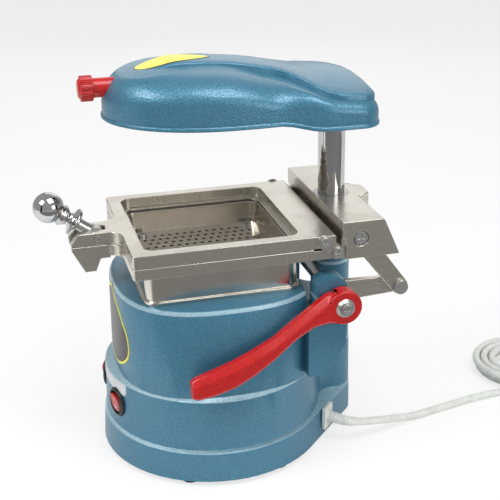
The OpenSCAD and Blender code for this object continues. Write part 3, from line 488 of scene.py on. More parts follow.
class Finishes:
    """Every finish on the machine."""

    def __init__(self) -> None:
        """Make the materials."""
        blues = colour(66, 126, 152), colour(46, 98, 124), colour(200, 230, 240)
        self.enamel = HammeredEnamel("hammered_blue", *blues).build()
        # The base's enamel, with highlights painted in bands at the ledge and top-edge heights
        self.base_enamel_painted_highlights = HammeredEnamel("hammered_base_painted_highlights", *blues, LEDGE_HIGHLIGHT_HEIGHTS).build()
        self.nickel = Metal(
            "plated_nickel", colour(214, 210, 200), colour(190, 184, 172), 0.23, 0.12
        ).build()
        self.chrome = Metal(
            "bright_chrome", colour(206, 206, 206), colour(190, 190, 190), 0.05, 0.05,
            (1.0, 1.0, 0.05), 0.004 * MM,
        ).build()
        self.polished = Metal(
            "polished_tray", colour(222, 217, 208), colour(188, 180, 168), 0.14, 0.12
        ).build()
        self.steel = Metal(
            "zinc_steel", colour(205, 205, 203), colour(168, 168, 166), 0.26, 0.18
        ).build()
        self.bronze = Metal(
            "bush_bronze", colour(206, 160, 96), colour(160, 116, 62), 0.3, 0.2
        ).build()
        self.red = Plastic(
            "red_enamel", colour(186, 4, 1), colour(168, 2, 1), 0.2, 0.35, 0.1 * MM
        ).build()
        self.red_plastic = Plastic(
            "red_plastic", colour(190, 14, 16), colour(160, 8, 10), 0.26, 0.2, 0.04 * MM
        ).build()
        self.white = Plastic(
            "white_lead", colour(226, 229, 224), colour(208, 211, 205), 0.42, 0.0, 0.06 * MM
        ).build()
        self.ceramic = Plastic(
            "glazed_ceramic", colour(236, 232, 222), colour(214, 208, 196), 0.25, 0.3
        ).build()
        self.label = Plastic(
            "silver_label", colour(206, 210, 214), colour(190, 194, 200), 0.35, 0.0, 0.01 * MM
        ).build()
        self.black = Plastic(
            "black_plastic", colour(32, 32, 34), colour(22, 22, 24), 0.4, 0.0, 0.04 * MM
        ).build()
        self.rubber = Plastic(
            "black_rubber", colour(38, 37, 38), colour(26, 26, 27), 0.7, 0.0, 0.1 * MM
        ).build()
        self.front_print = PrintedDrop(
            "front_print", colour(236, 226, 50), colour(18, 18, 18), (MIDDLE, 107 * MM),
            (96 * MM, 62 * MM), ("X", "Z"), 1.5 * MM,
        ).build()
        self.head_print = PrintedDrop(
            "head_print", colour(58, 58, 58), colour(236, 228, 66),
            (MIDDLE, HEAD_PRINT_AT * MM), (HEAD_PRINT[0] * MM, HEAD_PRINT[1] * MM),
            ("X", "Y"), 0.8 * MM,
        ).build()
        self.gasket = Plastic(
            "grey_silicone", colour(120, 120, 118), colour(100, 100, 99), 0.6, 0.0, 0.06 * MM
        ).build()


# Pieces


def shell_of(node: str) -> bmesh.types.BMesh:
    """Copy a CAD node's mesh, with its loose triangles merged into flat faces.

    Args:
        node: the node's name.

    Returns:
        The merged copy.
    """
    shell = bmesh.new()
    shell.from_mesh(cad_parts[node].data)
    bmesh.ops.remove_doubles(shell, verts=shell.verts, dist=0.004 * MM)
    bmesh.ops.dissolve_degenerate(shell, edges=shell.edges, dist=0.002 * MM)
    bmesh.ops.dissolve_limit(
        shell, angle_limit=math.radians(0.8), verts=shell.verts, edges=shell.edges
    )
    return shell


def make_piece(
    shell: bmesh.types.BMesh, name: str, finish: bpy.types.Material
) -> bpy.types.Object:
    """Turn a finished bmesh into an object at the origin.

    Args:
        shell: the shape, which is freed.
        name: the piece's name.
        finish: its material.

    Returns:
        The new object.
    """
    for face in shell.faces:
        face.smooth = True
    mesh = bpy.data.meshes.new(name)
    shell.to_mesh(mesh)
    shell.free()
    if "custom_normal" in mesh.attributes:
        mesh.attributes.remove(mesh.attributes["custom_normal"])
    mesh.materials.clear()
    mesh.materials.append(finish)
    made = bpy.data.objects.new(name, mesh)
    bpy.context.scene.collection.objects.link(made)
    return made


def soften(
    piece: bpy.types.Object, edge: float, rounds: int = 2, sharp: float = 38, clamp: bool = False
) -> None:
    """Round a piece's edges and shade the rest smoothly.

    Args:
        piece: the piece.
        edge: the width of the rounded edge, in metres; zero leaves the edges crisp.
        rounds: how many steps an edge is rounded in.
        sharp: the angle from which an edge counts as one, in degrees.
        clamp: whether short edges limit the width everywhere.
    """
    piece.data.set_sharp_from_angle(angle=math.radians(sharp))
    if edge > 0:
        bevel = piece.modifiers.new("edge", "BEVEL")
        bevel.width = edge
        bevel.segments = rounds
        bevel.limit_method = "ANGLE"
        bevel.angle_limit = math.radians(sharp)
        bevel.profile = 0.5
        bevel.use_clamp_overlap = clamp
        bevel.harden_normals = True


@dataclass
class Dress:
    """How a CAD node is finished: its material, its slot and its edges."""

    node: str
    finish: bpy.types.Material
    slot: str
    edge: float = 0.35 * MM
    rounds: int = 2
    sharp: float = 38
    clamp: bool = False

    def build(self, body: Body) -> bpy.types.Object:
        """Make the softened copy that stands for the node.

        Args:
            body: the body that it rides on.

        Returns:
            The piece.
        """
        piece = make_piece(shell_of(self.node), f"{self.node}_skin", self.finish)
        soften(piece, self.edge, self.rounds, self.sharp, self.clamp)
        return settle(piece, body, self.slot, self.node)


def settle(piece: bpy.types.Object, body: Body, slot: str, *nodes: str) -> bpy.types.Object:
    """Put a piece on its body and hide the CAD nodes that it stands for.

    Args:
        piece: the piece.
        body: the body that it rides on.
        slot: the record's slot that it takes its finish from; not used.
        nodes: the CAD nodes that it stands for.

    Returns:
        The piece.
    """
    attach(piece, body.value)
    if nodes:
        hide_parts(*nodes)
    LOG.info("%s on %s", piece.name, body.value)
    return piece


# Studio


@dataclass
class Studio:
    """Camera, lights and floor."""

    eye: Vector = field(default_factory=lambda: Vector((758.1, -172.7, 470.9)) * MM)
    turn: float = 74.51
    tilt: float = 21.98
    roll: float = -0.52
    lens: float = 78.15
    shift: tuple = (-0.0285, -0.0019)
    aim: float = 0.16
    floor_glow: float = 0.72

    def build(self) -> None:
        """Make the camera at the photograph's place, the lights and the floor."""
        self._camera()
        self._floor()
        self._world()
        self._lamp("key", (0.25, -0.95, 1.15), 0.55, 9.0)
        self._lamp("top", (0.45, 0.25, 1.45), 0.8, 12.0)
        self._lamp("fill", (1.2, 0.75, 0.6), 0.6, 4.0)
        self._lamp("rear", (-1.3, 0.35, 0.78), 1.0, 2.3)
        self._card("right_card", (0.5, 0.75, 0.35), (0.28, 0.6), False)
        self._card("left_card", (0.42, -0.75, 0.3), (0.2, 0.6), False)
        self._card("front_mat", (0.65, 0.05, 0.001), (0.9, 1.7), True)
        view = bpy.context.scene.view_settings
        view.view_transform = "Standard"

    def _camera(self) -> None:
        """Make the camera."""
        data = bpy.data.cameras.new("camera")
        data.sensor_width = 36
        data.lens = self.lens
        data.shift_x, data.shift_y = self.shift
        data.clip_start, data.clip_end = 0.01, 20
        made = bpy.data.objects.new("camera", data)
        bpy.context.scene.collection.objects.link(made)
        a, e, r = (math.radians(v) for v in (self.turn, self.tilt, self.roll))
        back = Vector((math.sin(a) * math.cos(e), -math.cos(a) * math.cos(e), math.sin(e)))
        level = Vector((math.cos(a), math.sin(a), 0))
        rise = back.cross(level)
        right = level * math.cos(r) + rise * math.sin(r)
        up = rise * math.cos(r) - level * math.sin(r)
        turn = Matrix((right, up, back)).transposed().to_4x4()
        made.matrix_world = Matrix.Translation(self.eye) @ turn
        bpy.context.scene.camera = made

    def _floor(self) -> None:
        """Lay the pale floor, which shows near white and still takes the shadow."""
        shell = bmesh.new()
        bmesh.ops.create_grid(shell, x_segments=8, y_segments=8, size=6)
        floor = make_piece(shell, "floor", self._floor_finish())

    def _card(
        self, name: str, place: tuple[float, float, float], size: tuple[float, float], flat: bool
    ) -> None:
        """Set a dark card outside the picture, for the metals to reflect.

        Args:
            name: the card's name.
            place: its middle, in metres.
            size: its width and its height, or its depth where it lies flat.
            flat: whether it lies on the floor.
        """
        s = Shader(f"{name}_paper")
        greys = (122, 114) if flat else (46, 40)
        tones = [colour(grey, grey, grey) for grey in greys]
        s.finish(base_color=s.mix(s.noise(0.1), *tones), roughness=1.0)
        spot = Vector(place)
        facing = Vector((0, 0, 1)) if flat else spot - Vector((0, 0, place[2]))
        turn = facing.to_track_quat("Z", "Y").to_matrix().to_4x4()
        shell = bmesh.new()
        shape = Matrix.Translation(spot) @ turn @ Matrix.Diagonal((*size, 1, 1))
        bmesh.ops.create_grid(shell, x_segments=1, y_segments=1, size=0.5, matrix=shape)
        card = make_piece(shell, name, s.material)
        card.visible_camera = card.visible_shadow = card.visible_diffuse = False

    def _floor_finish(self) -> bpy.types.Material:
        """Make the floor's material.

        Returns:
            White paper that glows a little towards the camera.
        """
        s = Shader("white_paper")
        tone = s.mix(s.noise(0.2, 2), colour(246, 246, 246), colour(240, 240, 240))
        s.finish(base_color=tone, roughness=0.9)
        glow = s.node("ShaderNodeEmission", {}, {"Color": (1, 1, 1, 1), "Strength": 1.0})
        seen = s.node("ShaderNodeLightPath").outputs["Is Camera Ray"]
        blend = s.node(
            "ShaderNodeMixShader",
            {},
            {0: Term(s, seen) * self.floor_glow, 1: s.body.outputs[0], 2: glow.outputs[0]},
        )
        out = next(n for n in s.tree.nodes if n.type == "OUTPUT_MATERIAL")
        s.feed(out.inputs["Surface"], blend.outputs[0])
        return s.material

    def _world(self) -> None:
        """Light the room softly, and show it white to the camera and through the pieces."""
        world = bpy.data.worlds.new("room")
        world.use_nodes = True
        bpy.context.scene.world = world
        tree = world.node_tree
        back = tree.nodes["Background"]
        path = tree.nodes.new("ShaderNodeLightPath")
        most = tree.nodes.new("ShaderNodeMath")
        most.operation = "MAXIMUM"
        tree.links.new(path.outputs["Is Camera Ray"], most.inputs[0])
        tree.links.new(path.outputs["Is Transmission Ray"], most.inputs[1])
        level = tree.nodes.new("ShaderNodeMapRange")
        tree.links.new(most.outputs[0], level.inputs[0])
        level.inputs["To Min"].default_value = ROOM_LIGHT
        level.inputs["To Max"].default_value = 1.0
        back.inputs["Color"].default_value = (1, 1, 1, 1)
        tree.links.new(level.outputs[0], back.inputs["Strength"])

    def _lamp(
        self, name: str, place: tuple[float, float, float], size: float, power: float
    ) -> None:
        """Hang one soft lamp that faces the machine.

        Args:
            name: the lamp's name.
            place: where it hangs, in metres.
            size: its side.
            power: its strength in watts.
        """
        data = bpy.data.lights.new(name, "AREA")
        data.size = size
        data.energy = power
        made = bpy.data.objects.new(name, data)
        bpy.context.scene.collection.objects.link(made)
        spot = Vector(place)
        made.location = spot
        made.rotation_mode = "QUATERNION"
        made.rotation_quaternion = (spot - Vector((0, 0, self.aim))).to_track_quat("Z", "Y")


def eased(value: float) -> float:
    """Run smoothly from zero to one.

    Args:
        value: where, with zero and one at the ends.

    Returns:
        The eased value.
    """
    share = min(max(value, 0.0), 1.0)
    return share * share * (3 - 2 * share)


def eased_over(place: float, span: tuple[float, float]) -> float:
    """Run smoothly from zero to one over a span.

    Args:
        place: where.
        span: the span's start and its length.

    Returns:
        The eased value.
    """
    return eased((place - span[0]) / span[1])


def between(low: float, high: float, share: float) -> float:
    """Mix two numbers.

    Args:
        low: the first.
        high: the second.
        share: how much of the second.

    Returns:
        The mix.
    """
    return low + (high - low) * share


# Mains lead


@dataclass
class MainsLead:
    """The mains lead from its gland to the plug, its far part wound as a coil."""

    finishes: Finishes
    thick: float = 6.3 * MM
    out_turn: float = 46.5
    gland: tuple = (42, 76.9, 19)
    route: tuple = (
        (48, 83, 19), (52, 89, 18), (54, 97, 16.5), (53, 106, 14.5), (51, 116, 12.5),
        (48, 127, 10), (44, 139, 7), (41, 150, 4.7), (38, 161, 3.4), (35, 173, 3.15),
        (32, 186, 3.15), (29, 200, 3.15), (26, 214, 3.15), (24, 228, 3.15), (23, 242, 3.15),
        (23, 256, 3.15), (25, 270, 3.15),
    )
    turns: int = 3
    mid: float = 34.6
    turn_gap: float = 0.7
    layer_gap: float = 0.6
    rings: int = 24
    tail: tuple = ((9, 0.3), (18, 1.1), (27, 1.9))
    relief: float = 25 * MM
    relief_wall: tuple = (1.7 * MM, 0.5 * MM)
    groove: float = 0.4 * MM

    def path(self) -> list[Vector]:
        """Work out the route's points, as the CAD has them.

        Returns:
            The points in metres.
        """
        thick = self.thick / MM
        out = math.radians(self.out_turn)
        start = Vector(self.gland) + 0.2 * Vector((math.cos(out), math.sin(out), 0))
        points = [start] + [Vector(p) for p in self.route]
        last = (points[-1] - points[-2]).normalized()
        into = math.atan2(last.y, last.x) - math.pi / 2
        step = thick + self.turn_gap
        outer = self.mid + step * (self.turns - 1) / 2
        end = points[-1]
        radial = Vector((math.cos(into), math.sin(into), 0))
        centre = Vector((end.x, end.y, 0)) - outer * radial + thick * last
        half = self.turns * self.rings
        for i in range(2 * half + 1):
            climb = eased((i - half + self.rings / 4) / (self.rings / 2))
            r = outer - step * (i if i < half else 2 * half - i) / self.rings
            a = into + 2 * math.pi * i / self.rings
            height = thick / 2 + climb * (thick + self.layer_gap)
            points.append(centre + Vector((r * math.cos(a), r * math.sin(a), height)))
        away = Vector((-math.sin(into), math.cos(into), 0))
        end = points[-1]
        for far, drop in self.tail:
            points.append(end + far * away - Vector((0, 0, drop)))
        return [p * MM + Vector((MIDDLE, 0, 0)) for p in points]

    def build(self) -> None:
        """Make the lead, its tapered relief and its plug."""
        points = smooth_path(self.path(), 4)
        radii = [self.thick / 2] * len(points)
        lead = tube_piece("mains_lead", points, radii, self.finishes.white, 14)
        settle(lead, Body.BASE, "white_plastic", "mains_cord", "cord_coil")
        plug = Dress("mains_plug", self.finishes.white, "white_plastic", 0.8 * MM, 3)
        path_length(points)
        plug.build(Body.BASE)
        self._relief()

    def _relief(self) -> bpy.types.Object:
        """Make the tapered, grooved strain relief round the lead's first stretch.

        Returns:
            The piece.
        """
        points = smooth_path(self.path()[:7], 12)
        points = [p for i, p in enumerate(points) if path_length(points[: i + 1]) < self.relief]
        radii = []
        for i in range(len(points)):
            wall = between(*self.relief_wall, i / len(points))
            radii.append(self.thick / 2 + wall - (self.groove if i % 4 == 3 else 0.0))
        relief = tube_piece("strain_relief", points, radii, self.finishes.white, 24)
        return settle(relief, Body.BASE, "white_plastic")


def path_length(points: list[Vector]) -> float:
    """Measure a path.

    Args:
        points: its points.

    Returns:
        Its length.
    """
    return sum((b - a).length for a, b in zip(points, points[1:]))


def smooth_path(points: list[Vector], steps: int) -> list[Vector]:
    """Run a smooth curve through points.

    Args:
        points: the points.
        steps: how many stretches go between two of them.

    Returns:
        The finer points.
    """
    made = []
    ends = [2 * points[0] - points[1], *points, 2 * points[-1] - points[-2]]
    for a, b, c, d in zip(ends, ends[1:], ends[2:], ends[3:]):
        for k in range(steps):
            t = k / steps
            bend = (2 * a - 5 * b + 4 * c - d) * t**2 + (3 * b - a - 3 * c + d) * t**3
            made.append(0.5 * (2 * b + (c - a) * t + bend))
    return [*made, points[-1]]


def tube_piece(
    name: str, points: list[Vector], radii: list[float], finish: bpy.types.Material, sides: int
) -> bpy.types.Object:
    """Sweep a round tube along a path.

    Args:
        name: the piece's name.
        points: the path.
        radii: the tube's radius at each point.
        finish: its material.
        sides: how many sides its section has.

    Returns:
        The piece, a closed mesh.
    """
    shell = bmesh.new()
    rings = []
    for i, (point, radius) in enumerate(zip(points, radii)):
        ahead = points[min(i + 1, len(points) - 1)] - points[max(i - 1, 0)]
        turn = ahead.to_track_quat("Z", "X").to_matrix().to_4x4()
        made = bmesh.ops.create_circle(
            shell, segments=sides, radius=radius, matrix=Matrix.Translation(point) @ turn
        )
        rings.append(made["verts"])
    aligned = rings[0]
    for ring in rings[1:]:
        start = min(range(sides), key=lambda k: (ring[k].co - aligned[0].co).length)
        ring = ring[start:] + ring[:start]
        for k in range(sides):
            shell.faces.new((aligned[k], aligned[(k + 1) % sides], ring[(k + 1) % sides], ring[k]))
        aligned = ring
    shell.faces.new(rings[0])
    shell.faces.new(aligned)
    bmesh.ops.recalc_face_normals(shell, faces=shell.faces)
    piece = make_piece(shell, name, finish)
    piece.data.set_sharp_from_angle(angle=math.radians(60))
    return piece


# Head


def loft_rings(shell: bmesh.types.BMesh, rings: list[list[Vector]], cap: bool = True) -> None:
    """Join closed rings with the same number of points.

    Args:
        shell: the bmesh that takes them.
        rings: the rings, in metres.
        cap: whether the last ring is closed.
    """
    made = [[shell.verts.new(p) for p in ring] for ring in rings]
    for low, high in zip(made, made[1:]):
        for i, a in enumerate(low):
            j = (i + 1) % len(low)
            shell.faces.new((a, low[j], high[j], high[i]))
    if cap:
        shell.faces.new(made[-1])


@dataclass
class HeadForm:
    """The moulded head, lofted afresh with the flat spine that the photograph shows.

    Sizes are in millimetres, with heights above the rim of the cover. Each span is where a
    change along the head starts, and how long it is. Each wide and tall is the rounded top's
    size at the front, at the sides and at the rear block.
    """

    rim: float = 267
    front: float = -82
    rear: float = 109.8
    widest: float = 8
    corner: float = 17
    front_half: float = 62
    rear_half: float = 70
    waist_span: tuple = (20, 20)
    block_span: tuple = (38, 32)
    crown_at: float = -25
    crown_high: float = 40
    crown_falls: tuple = (0.003, 0.0016)
    tail_at: float = 72
    tail_fall: float = 0.09
    step: float = 1.6
    rear_step: float = 7
    step_span: tuple = (0, 85)
    spine_front: float = -56
    spine_last: float = 108.3
    spine_corner: float = 12
    spine_halves: tuple = (13.5, 16)
    nose_long: float = 16
    spine_growth: float = 3
    growth_span: tuple = (0, 40)
    spine_flare: float = 40
    flare_span: tuple = (42, 40)
    spine_sags: tuple = (0.5, 4.5)
    sag_span: tuple = (40, 42)
    front_dip: float = 3.2
    dip_long: float = 30
    rear_drop: float = 4
    drop_span: tuple = (34, 30)
    side_span: tuple = (-79, 50)
    round_span: tuple = (30, 32)
    wide: tuple = (13, 34, 8)
    tall: tuple = (17, 18, 8)

    def at(self, x: float, y: float, height: float) -> Vector:
        """Place a point of the head in the frame.

        Args:
            x: to the side of the middle line.
            y: to the rear.
            height: above the rim.

        Returns:
            The point, in metres.
        """
        return Vector((x * MM + MIDDLE, y * MM, (self.rim + height) * MM))

    def half(self, y: float) -> float:
        """Give the cover's half width.

        Args:
            y: the place along the head.

        Returns:
            The half width.
        """
        if y < self.widest:
            share = (self.widest - y) / (self.widest - self.front)
            return self.front_half * max(0.0, 1 - share**2.15) ** 0.5
        waist = self.front_half - eased_over(y, self.waist_span)
        return between(waist, self.rear_half, eased_over(y, self.block_span))

    def crown(self, y: float) -> float:
        """Give the height of the spine.

        Args:
            y: the place along the head.

        Returns:
            The height, which falls to the rear.
        """
        fall = self.crown_falls[y >= self.crown_at]
        bent = min(y, self.tail_at)
        return self.crown_high - fall * (bent - self.crown_at) ** 2 - self.tail_fall * (y - bent)

    def shoulder(self, y: float) -> float:
        """Give the height of the cover beside the spine.

        Args:
            y: the place along the head.

        Returns:
            The height.
        """
        return self.crown(y) - self.step - self.rear_step * eased_over(y, self.step_span)

    def spine_half(self, y: float) -> float:
        """Give the spine's half width.

        Args:
            y: the place along the head.

        Returns:
            The half width, which flares to the rear.
        """
        half = between(*self.spine_halves, eased_over(y, (self.spine_front, self.nose_long)))
        half += self.spine_growth * eased_over(y, self.growth_span)
        half += self.spine_flare * eased_over(y, self.flare_span)
        over = max(0.0, y - self.spine_last + self.spine_corner)
        round_off = max(0.0, self.spine_corner**2 - over**2) ** 0.5
        return half - self.spine_corner + round_off

    def top(self, x: float, y: float) -> float:
        """Give the height of the spine's face, which sags to its sides and its front.

        Args:
            x: to the side of the middle line.
            y: the place along the head.

        Returns:
            The height.
        """
        sag = self.spine_sags[0] + self.spine_sags[1] * eased_over(y, self.sag_span)
        dip = self.front_dip * (1 - eased_over(y, (self.spine_front, self.dip_long)))
        return self.crown(y) - dip - sag * min(1.0, abs(x) / self.spine_half(y)) ** 2

    def outline(self) -> list[tuple[float, float]]:
        """Draw the cover's plan.

        Returns:
            Its points, from the front round to the right.
        """
        straight = self.rear - self.corner
        angles = [math.radians(90 * i / 20) for i in range(21)]
        along = [self.widest - (self.widest - self.front) * math.cos(a) for a in angles]
        along += [between(self.widest, straight, i / 12) for i in range(1, 13)]
        side = [(self.half(y), y) for y in along]
        mid = self.rear_half - self.corner
        side += [
            (mid + self.corner * math.cos(a), straight + self.corner * math.sin(a))
            for a in angles[2::3]
        ]
        side += [(mid * 0.5, self.rear + 0.3), (0.0, self.rear + 0.4)]
        return side + [(-x, y) for x, y in side[-2:0:-1]]

    def _middle(self, y: float) -> Vector:
        """Find the place on the middle line that an edge is drawn in to.

        Args:
            y: the edge's place.

        Returns:
            The place in plan.
        """
        return Vector((0, min(max(y, -22.0), self.rear - 30)))

    def wall(self, rise: float, inwards: float) -> list[Vector]:
        """Make a ring of the cover's wall.

        Args:
            rise: how far it is above the rim, which drops at the rear.
            inwards: how far it is inside the outline.

        Returns:
            The ring.
        """
        ring = []
        for x, y in self.outline():
            place = Vector((x, y))
            place -= (place - self._middle(y)).normalized() * inwards
            drop = self.rear_drop * eased_over(y, self.drop_span)
            ring.append(self.at(place.x, place.y, rise - drop))
        return ring

    def dome(self, angle: float, share: float = 1.0) -> list[Vector]:
        """Make a ring of the cover's rounded top.

        Args:
            angle: from zero at the wall to a right angle at the top.
            share: how far the ring is from the middle line, for the flat inside it.

        Returns:
            The ring.
        """
        ring = []
        for x, y in self.outline():
            place, middle = Vector((x, y)), self._middle(y)
            side = eased_over(y, self.side_span)
            block = eased_over(y, self.round_span)
            wide = between(between(*self.wide[:2], side), self.wide[2], block)
            tall = between(between(*self.tall[:2], side), self.tall[2], block)
            inwards = 1 + wide * (1 - math.cos(angle))
            place -= (place - middle).normalized() * inwards
            place = middle + (place - middle) * share
            fall = between(2.2, 0.4, block) * share**2
            top = self.shoulder(place.y) - fall
            ring.append(self.at(place.x, place.y, top - tall * (1 - math.sin(angle))))
        return ring

    def spine(
        self, inwards: float, rise: float, share: float = 1.0, sunk: bool = False
    ) -> list[Vector]:
        """Make a ring of the spine.

        Args:
            inwards: how far it is inside the spine's outline.
            rise: how far it is above the crown's height.
            share: how far it is from the middle line, for the face inside it.
            sunk: whether it is the foot, inside the cover.

        Returns:
            The ring.
        """
        last = self.spine_last
        bend = last - self.spine_corner
        along = [between(self.spine_front, bend, i / 28) for i in range(29)]
        along += [bend + self.spine_corner * math.sin(math.radians(15 * i)) for i in range(1, 7)]
        side = [(0.0, self.spine_front - 6), (7.5, self.spine_front - 4)]
        side += [(self.spine_half(y), y) for y in along]
        side += [(self.spine_half(last) / 2, last + 0.3), (0.0, last + 0.4)]
        ring = []
        for x, y in side + [(-x, y) for x, y in side[-2:0:-1]]:
            place, middle = Vector((x, y)), Vector((0, min(max(y, -30.0), last - 25)))
            way = middle - place
            place += way.normalized() * min(way.length - 0.5, inwards)
            place = middle + (place - middle) * share
            height = self.shoulder(place.y) - 5 if sunk else self.top(place.x, place.y) + rise
            ring.append(self.at(place.x, place.y, height))
        return ring

    def build(self, finish: bpy.types.Material) -> bpy.types.Object:
        """Make the cover.

        Args:
            finish: its enamel.

        Returns:
            The piece.
        """
        shell = bmesh.new()
        lip = [(13, 3.6), (0.5, 2.8), (0, 2.2), (0, 0.6), (0.5, 0), (2.2, 0), (2.8, 0.5), (3.1, 1)]
        steps = [math.radians(7.5 * i) for i in range(13)]
        rings = [self.wall(rise, inwards) for rise, inwards in lip]
        rings += [self.dome(angle) for angle in steps]
        rings += [self.dome(steps[-1], share) for share in (0.75, 0.5, 0.25)]
        loft_rings(shell, rings)
        edge = [(0, -1.1), (0.3, -0.6), (0.9, -0.2), (2.2, 0)]
        edge += [(2.2, 0.3, share) for share in (0.8, 0.6, 0.4, 0.2, 0)]
        rings = [self.spine(0, 0, 1, True)] + [self.spine(*place) for place in edge]
        loft_rings(shell, rings, False)
        bmesh.ops.remove_doubles(shell, verts=shell.verts, dist=0.02 * MM)
        cover = make_piece(shell, "head_cover_skin", finish)
        cover.data.set_sharp_from_angle(angle=math.radians(48))
        return settle(cover, Body.HEAD, "enamel", "head_cover")

    def label(self, finish: bpy.types.Material, size: tuple, middle: float) -> bpy.types.Object:
        """Make the drop-shaped print on the spine.

        Args:
            finish: the print.
            size: its width and its length.
            middle: its middle's place along the head.

        Returns:
            The piece.
        """
        shell = bmesh.new()
        rings = []
        face = ((1.0, 0.5), (0.97, 0.6), (0.7, 0.68), (0.4, 0.74), (0.1, 0.8))
        for share, rise in ((1.0, -1), *face):
            ring = []
            for i in range(72):
                turn = math.radians(5 * i)
                wide = math.sin(turn) * abs(math.sin(turn / 2)) ** 0.6
                y = middle + size[1] / 2 * math.cos(turn) * share
                x = size[0] / 2 * wide * share
                ring.append(self.at(x, y, self.top(x, y) + rise))
            rings.append(ring)
        loft_rings(shell, rings)
        print_piece = make_piece(shell, "head_sticker_skin", finish)
        print_piece.data.set_sharp_from_angle(angle=math.radians(40))
        return settle(print_piece, Body.HEAD, "sticker", "head_sticker")


# Switches


def rocker_marks(side: int, finish: bpy.types.Material, body: Body) -> bpy.types.Object:
    """Print a ring on a rocker's lower half and a bar on its upper half.

    Args:
        side: -1 for the left switch and 1 for the right one.
        finish: the print.
        body: the rocker's body.

    Returns:
        The piece.
    """
    switch = Matrix.Translation(SWITCH_AXIS)
    switch @= Matrix.Rotation(side * math.asin(SWITCH_SIDE / SWITCH_OUT), 4, "Z")
    switch @= Matrix.Translation((0, -SWITCH_OUT, 0))
    shell = bmesh.new()
    low = switch @ Matrix.Translation((0, -2.16 * MM, -3.6 * MM))
    low @= Matrix.Rotation(math.radians(94), 4, "X")
    angles = [math.radians(15 * i) for i in range(24)]
    section = ((1.75, -0.3), (1.75, 0.07), (1.25, 0.07), (1.25, -0.3), (1.75, -0.3))
    rings = [
        [low @ (Vector((r * math.cos(a), r * math.sin(a), rise)) * MM) for a in angles]
        for r, rise in section
    ]
    loft_rings(shell, rings, False)
    bmesh.ops.remove_doubles(shell, verts=shell.verts, dist=0.001 * MM)
    high = switch @ Matrix.Translation((0, -3.06 * MM, 3.3 * MM))
    high @= Matrix.Rotation(math.radians(102.6), 4, "X")
    bar = high @ Matrix.Diagonal((0.55 * MM, 3.2 * MM, 0.3 * MM, 1))
    bmesh.ops.create_cube(shell, size=1, matrix=bar)
    bmesh.ops.recalc_face_normals(shell, faces=shell.faces)
    marks = make_piece(shell, f"{body.value}_marks", finish)
    marks.data.set_sharp_from_angle(angle=math.radians(40))
    return settle(marks, body, "white_plastic")


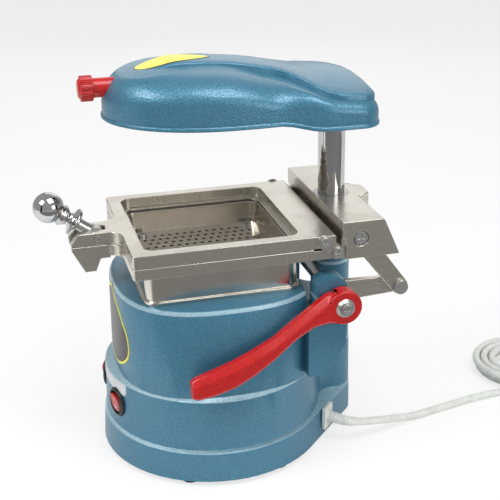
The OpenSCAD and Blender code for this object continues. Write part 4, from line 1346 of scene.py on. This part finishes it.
@dataclass
class Machine:
    """The whole machine, one list of dressed nodes for each body."""

    finishes: Finishes

    def build(self) -> None:
        """Dress every CAD node."""
        f = self.finishes
        rows = {
            Body.BASE: [
                Dress("base_housing", f.base_enamel_painted_highlights, "enamel", 0.5 * MM, 2, 34, True),
                Dress("base_plate", f.steel, "steel"),
                Dress("base_screws", f.steel, "steel", 0.15 * MM),
                Dress("rubber_feet", f.rubber, "black_rubber", 0.7 * MM, 3),
                Dress("front_sticker", f.front_print, "sticker", 0),
                Dress("switch_label", f.label, "white_plastic", 0),
                Dress("switch_bezels", f.black, "black_plastic", 0.5 * MM, 3),
                Dress("cord_gland", f.white, "white_plastic", 0.4 * MM),
                Dress("vacuum_motor", f.steel, "steel"),
                Dress("fan_housing", f.nickel, "nickel"),
                Dress("motor_gasket", f.rubber, "black_rubber", 0.3 * MM),
                Dress("shaft_bushes", f.bronze, "bronze", 0.2 * MM),
                Dress("post", f.chrome, "chrome", 0.5 * MM),
                Dress("post_bolt", f.steel, "steel"),
                Dress("head_collar", f.steel, "steel"),
                Dress("chamber_tray", f.polished, "polished", 0.5 * MM),
                Dress("chamber_gasket", f.gasket, "black_rubber", 0.2 * MM),
                Dress("perforated_plate", f.polished, "polished", 0),
                Dress("plate_screws", f.steel, "steel", 0.15 * MM),
            ],
            Body.ROCKER_LEFT: [Dress("rocker_left", f.red_plastic, "red_paint", 0.4 * MM, 3)],
            Body.ROCKER_RIGHT: [Dress("rocker_right", f.red_plastic, "red_paint", 0.4 * MM, 3)],
            Body.LEVER: [
                Dress("red_lever", f.red, "red_paint", 1.1 * MM, 3, 34),
                Dress("lever_washer", f.steel, "steel", 0.3 * MM),
                Dress("lever_screw", f.steel, "steel", 0.2 * MM),
                Dress("crank_shaft", f.steel, "steel"),
                Dress("cranks", f.nickel, "nickel", 0.6 * MM, 2),
                Dress("crank_pins", f.steel, "steel", 0.3 * MM),
            ],
            Body.LINKS: [Dress("links", f.nickel, "nickel", 0.6 * MM, 2)],
            Body.CARRIAGE: [
                Dress("carriage_block", f.nickel, "nickel", 0.6 * MM, 3),
                Dress("carriage_bush", f.steel, "bronze", 0.3 * MM),
                Dress("carriage_screws", f.steel, "steel", 0.2 * MM),
                Dress("lower_frame", f.nickel, "nickel", 0.5 * MM, 2),
                Dress("strap_screws_lower", f.steel, "steel", 0.2 * MM),
                Dress("link_screws", f.steel, "steel", 0.2 * MM),
            ],
            Body.STRAPS: [Dress("hinge_straps", f.nickel, "nickel", 0.4 * MM, 2)],
            Body.UPPER_FRAME: [
                Dress("upper_frame", f.nickel, "nickel", 0.6 * MM, 3),
                Dress("strap_screws_upper", f.steel, "steel", 0.2 * MM),
                Dress("bolt_pin", f.steel, "steel", 0.2 * MM),
            ],
            Body.SWING_BOLT: [Dress("swing_bolt", f.steel, "steel", 0.3 * MM)],
            Body.CLAMP_SLEEVE: [Dress("clamp_sleeve", f.chrome, "chrome", 0.3 * MM)],
            Body.LOCK_KNOB: [Dress("lock_knob", f.chrome, "chrome", 0.3 * MM)],
            Body.HEAD: [
                Dress("head_pan", f.steel, "steel", 0.2 * MM),
                Dress("heater_dish", f.polished, "polished", 0.2 * MM),
                Dress("heater_element", f.steel, "steel", 0),
                Dress("heater_terminals", f.ceramic, "ceramic", 0.4 * MM),
                Dress("head_bush", f.bronze, "bronze", 0.3 * MM),
                Dress("head_screws", f.steel, "steel", 0.15 * MM),
                Dress("knob_collar", f.red_plastic, "red_paint", 0.4 * MM),
                Dress("head_knob", f.red_plastic, "red_paint", 0.5 * MM, 3),
            ],
        }
        for body, dresses in rows.items():
            for dress in dresses:
                dress.build(body)
        head = HeadForm()
        head.build(f.enamel)
        head.label(f.head_print, HEAD_PRINT, HEAD_PRINT_AT)
        for body, side in ((Body.ROCKER_LEFT, -1), (Body.ROCKER_RIGHT, 1)):
            rocker_marks(side, f.white, body)


def main() -> None:
    """Build everything in order."""
    logging.basicConfig(level=logging.INFO, format="%(name)s: %(message)s")
    finishes = Finishes()
    Studio().build()
    MainsLead(finishes).build()
    Machine(finishes).build()


if __name__ == "__main__":
    main()
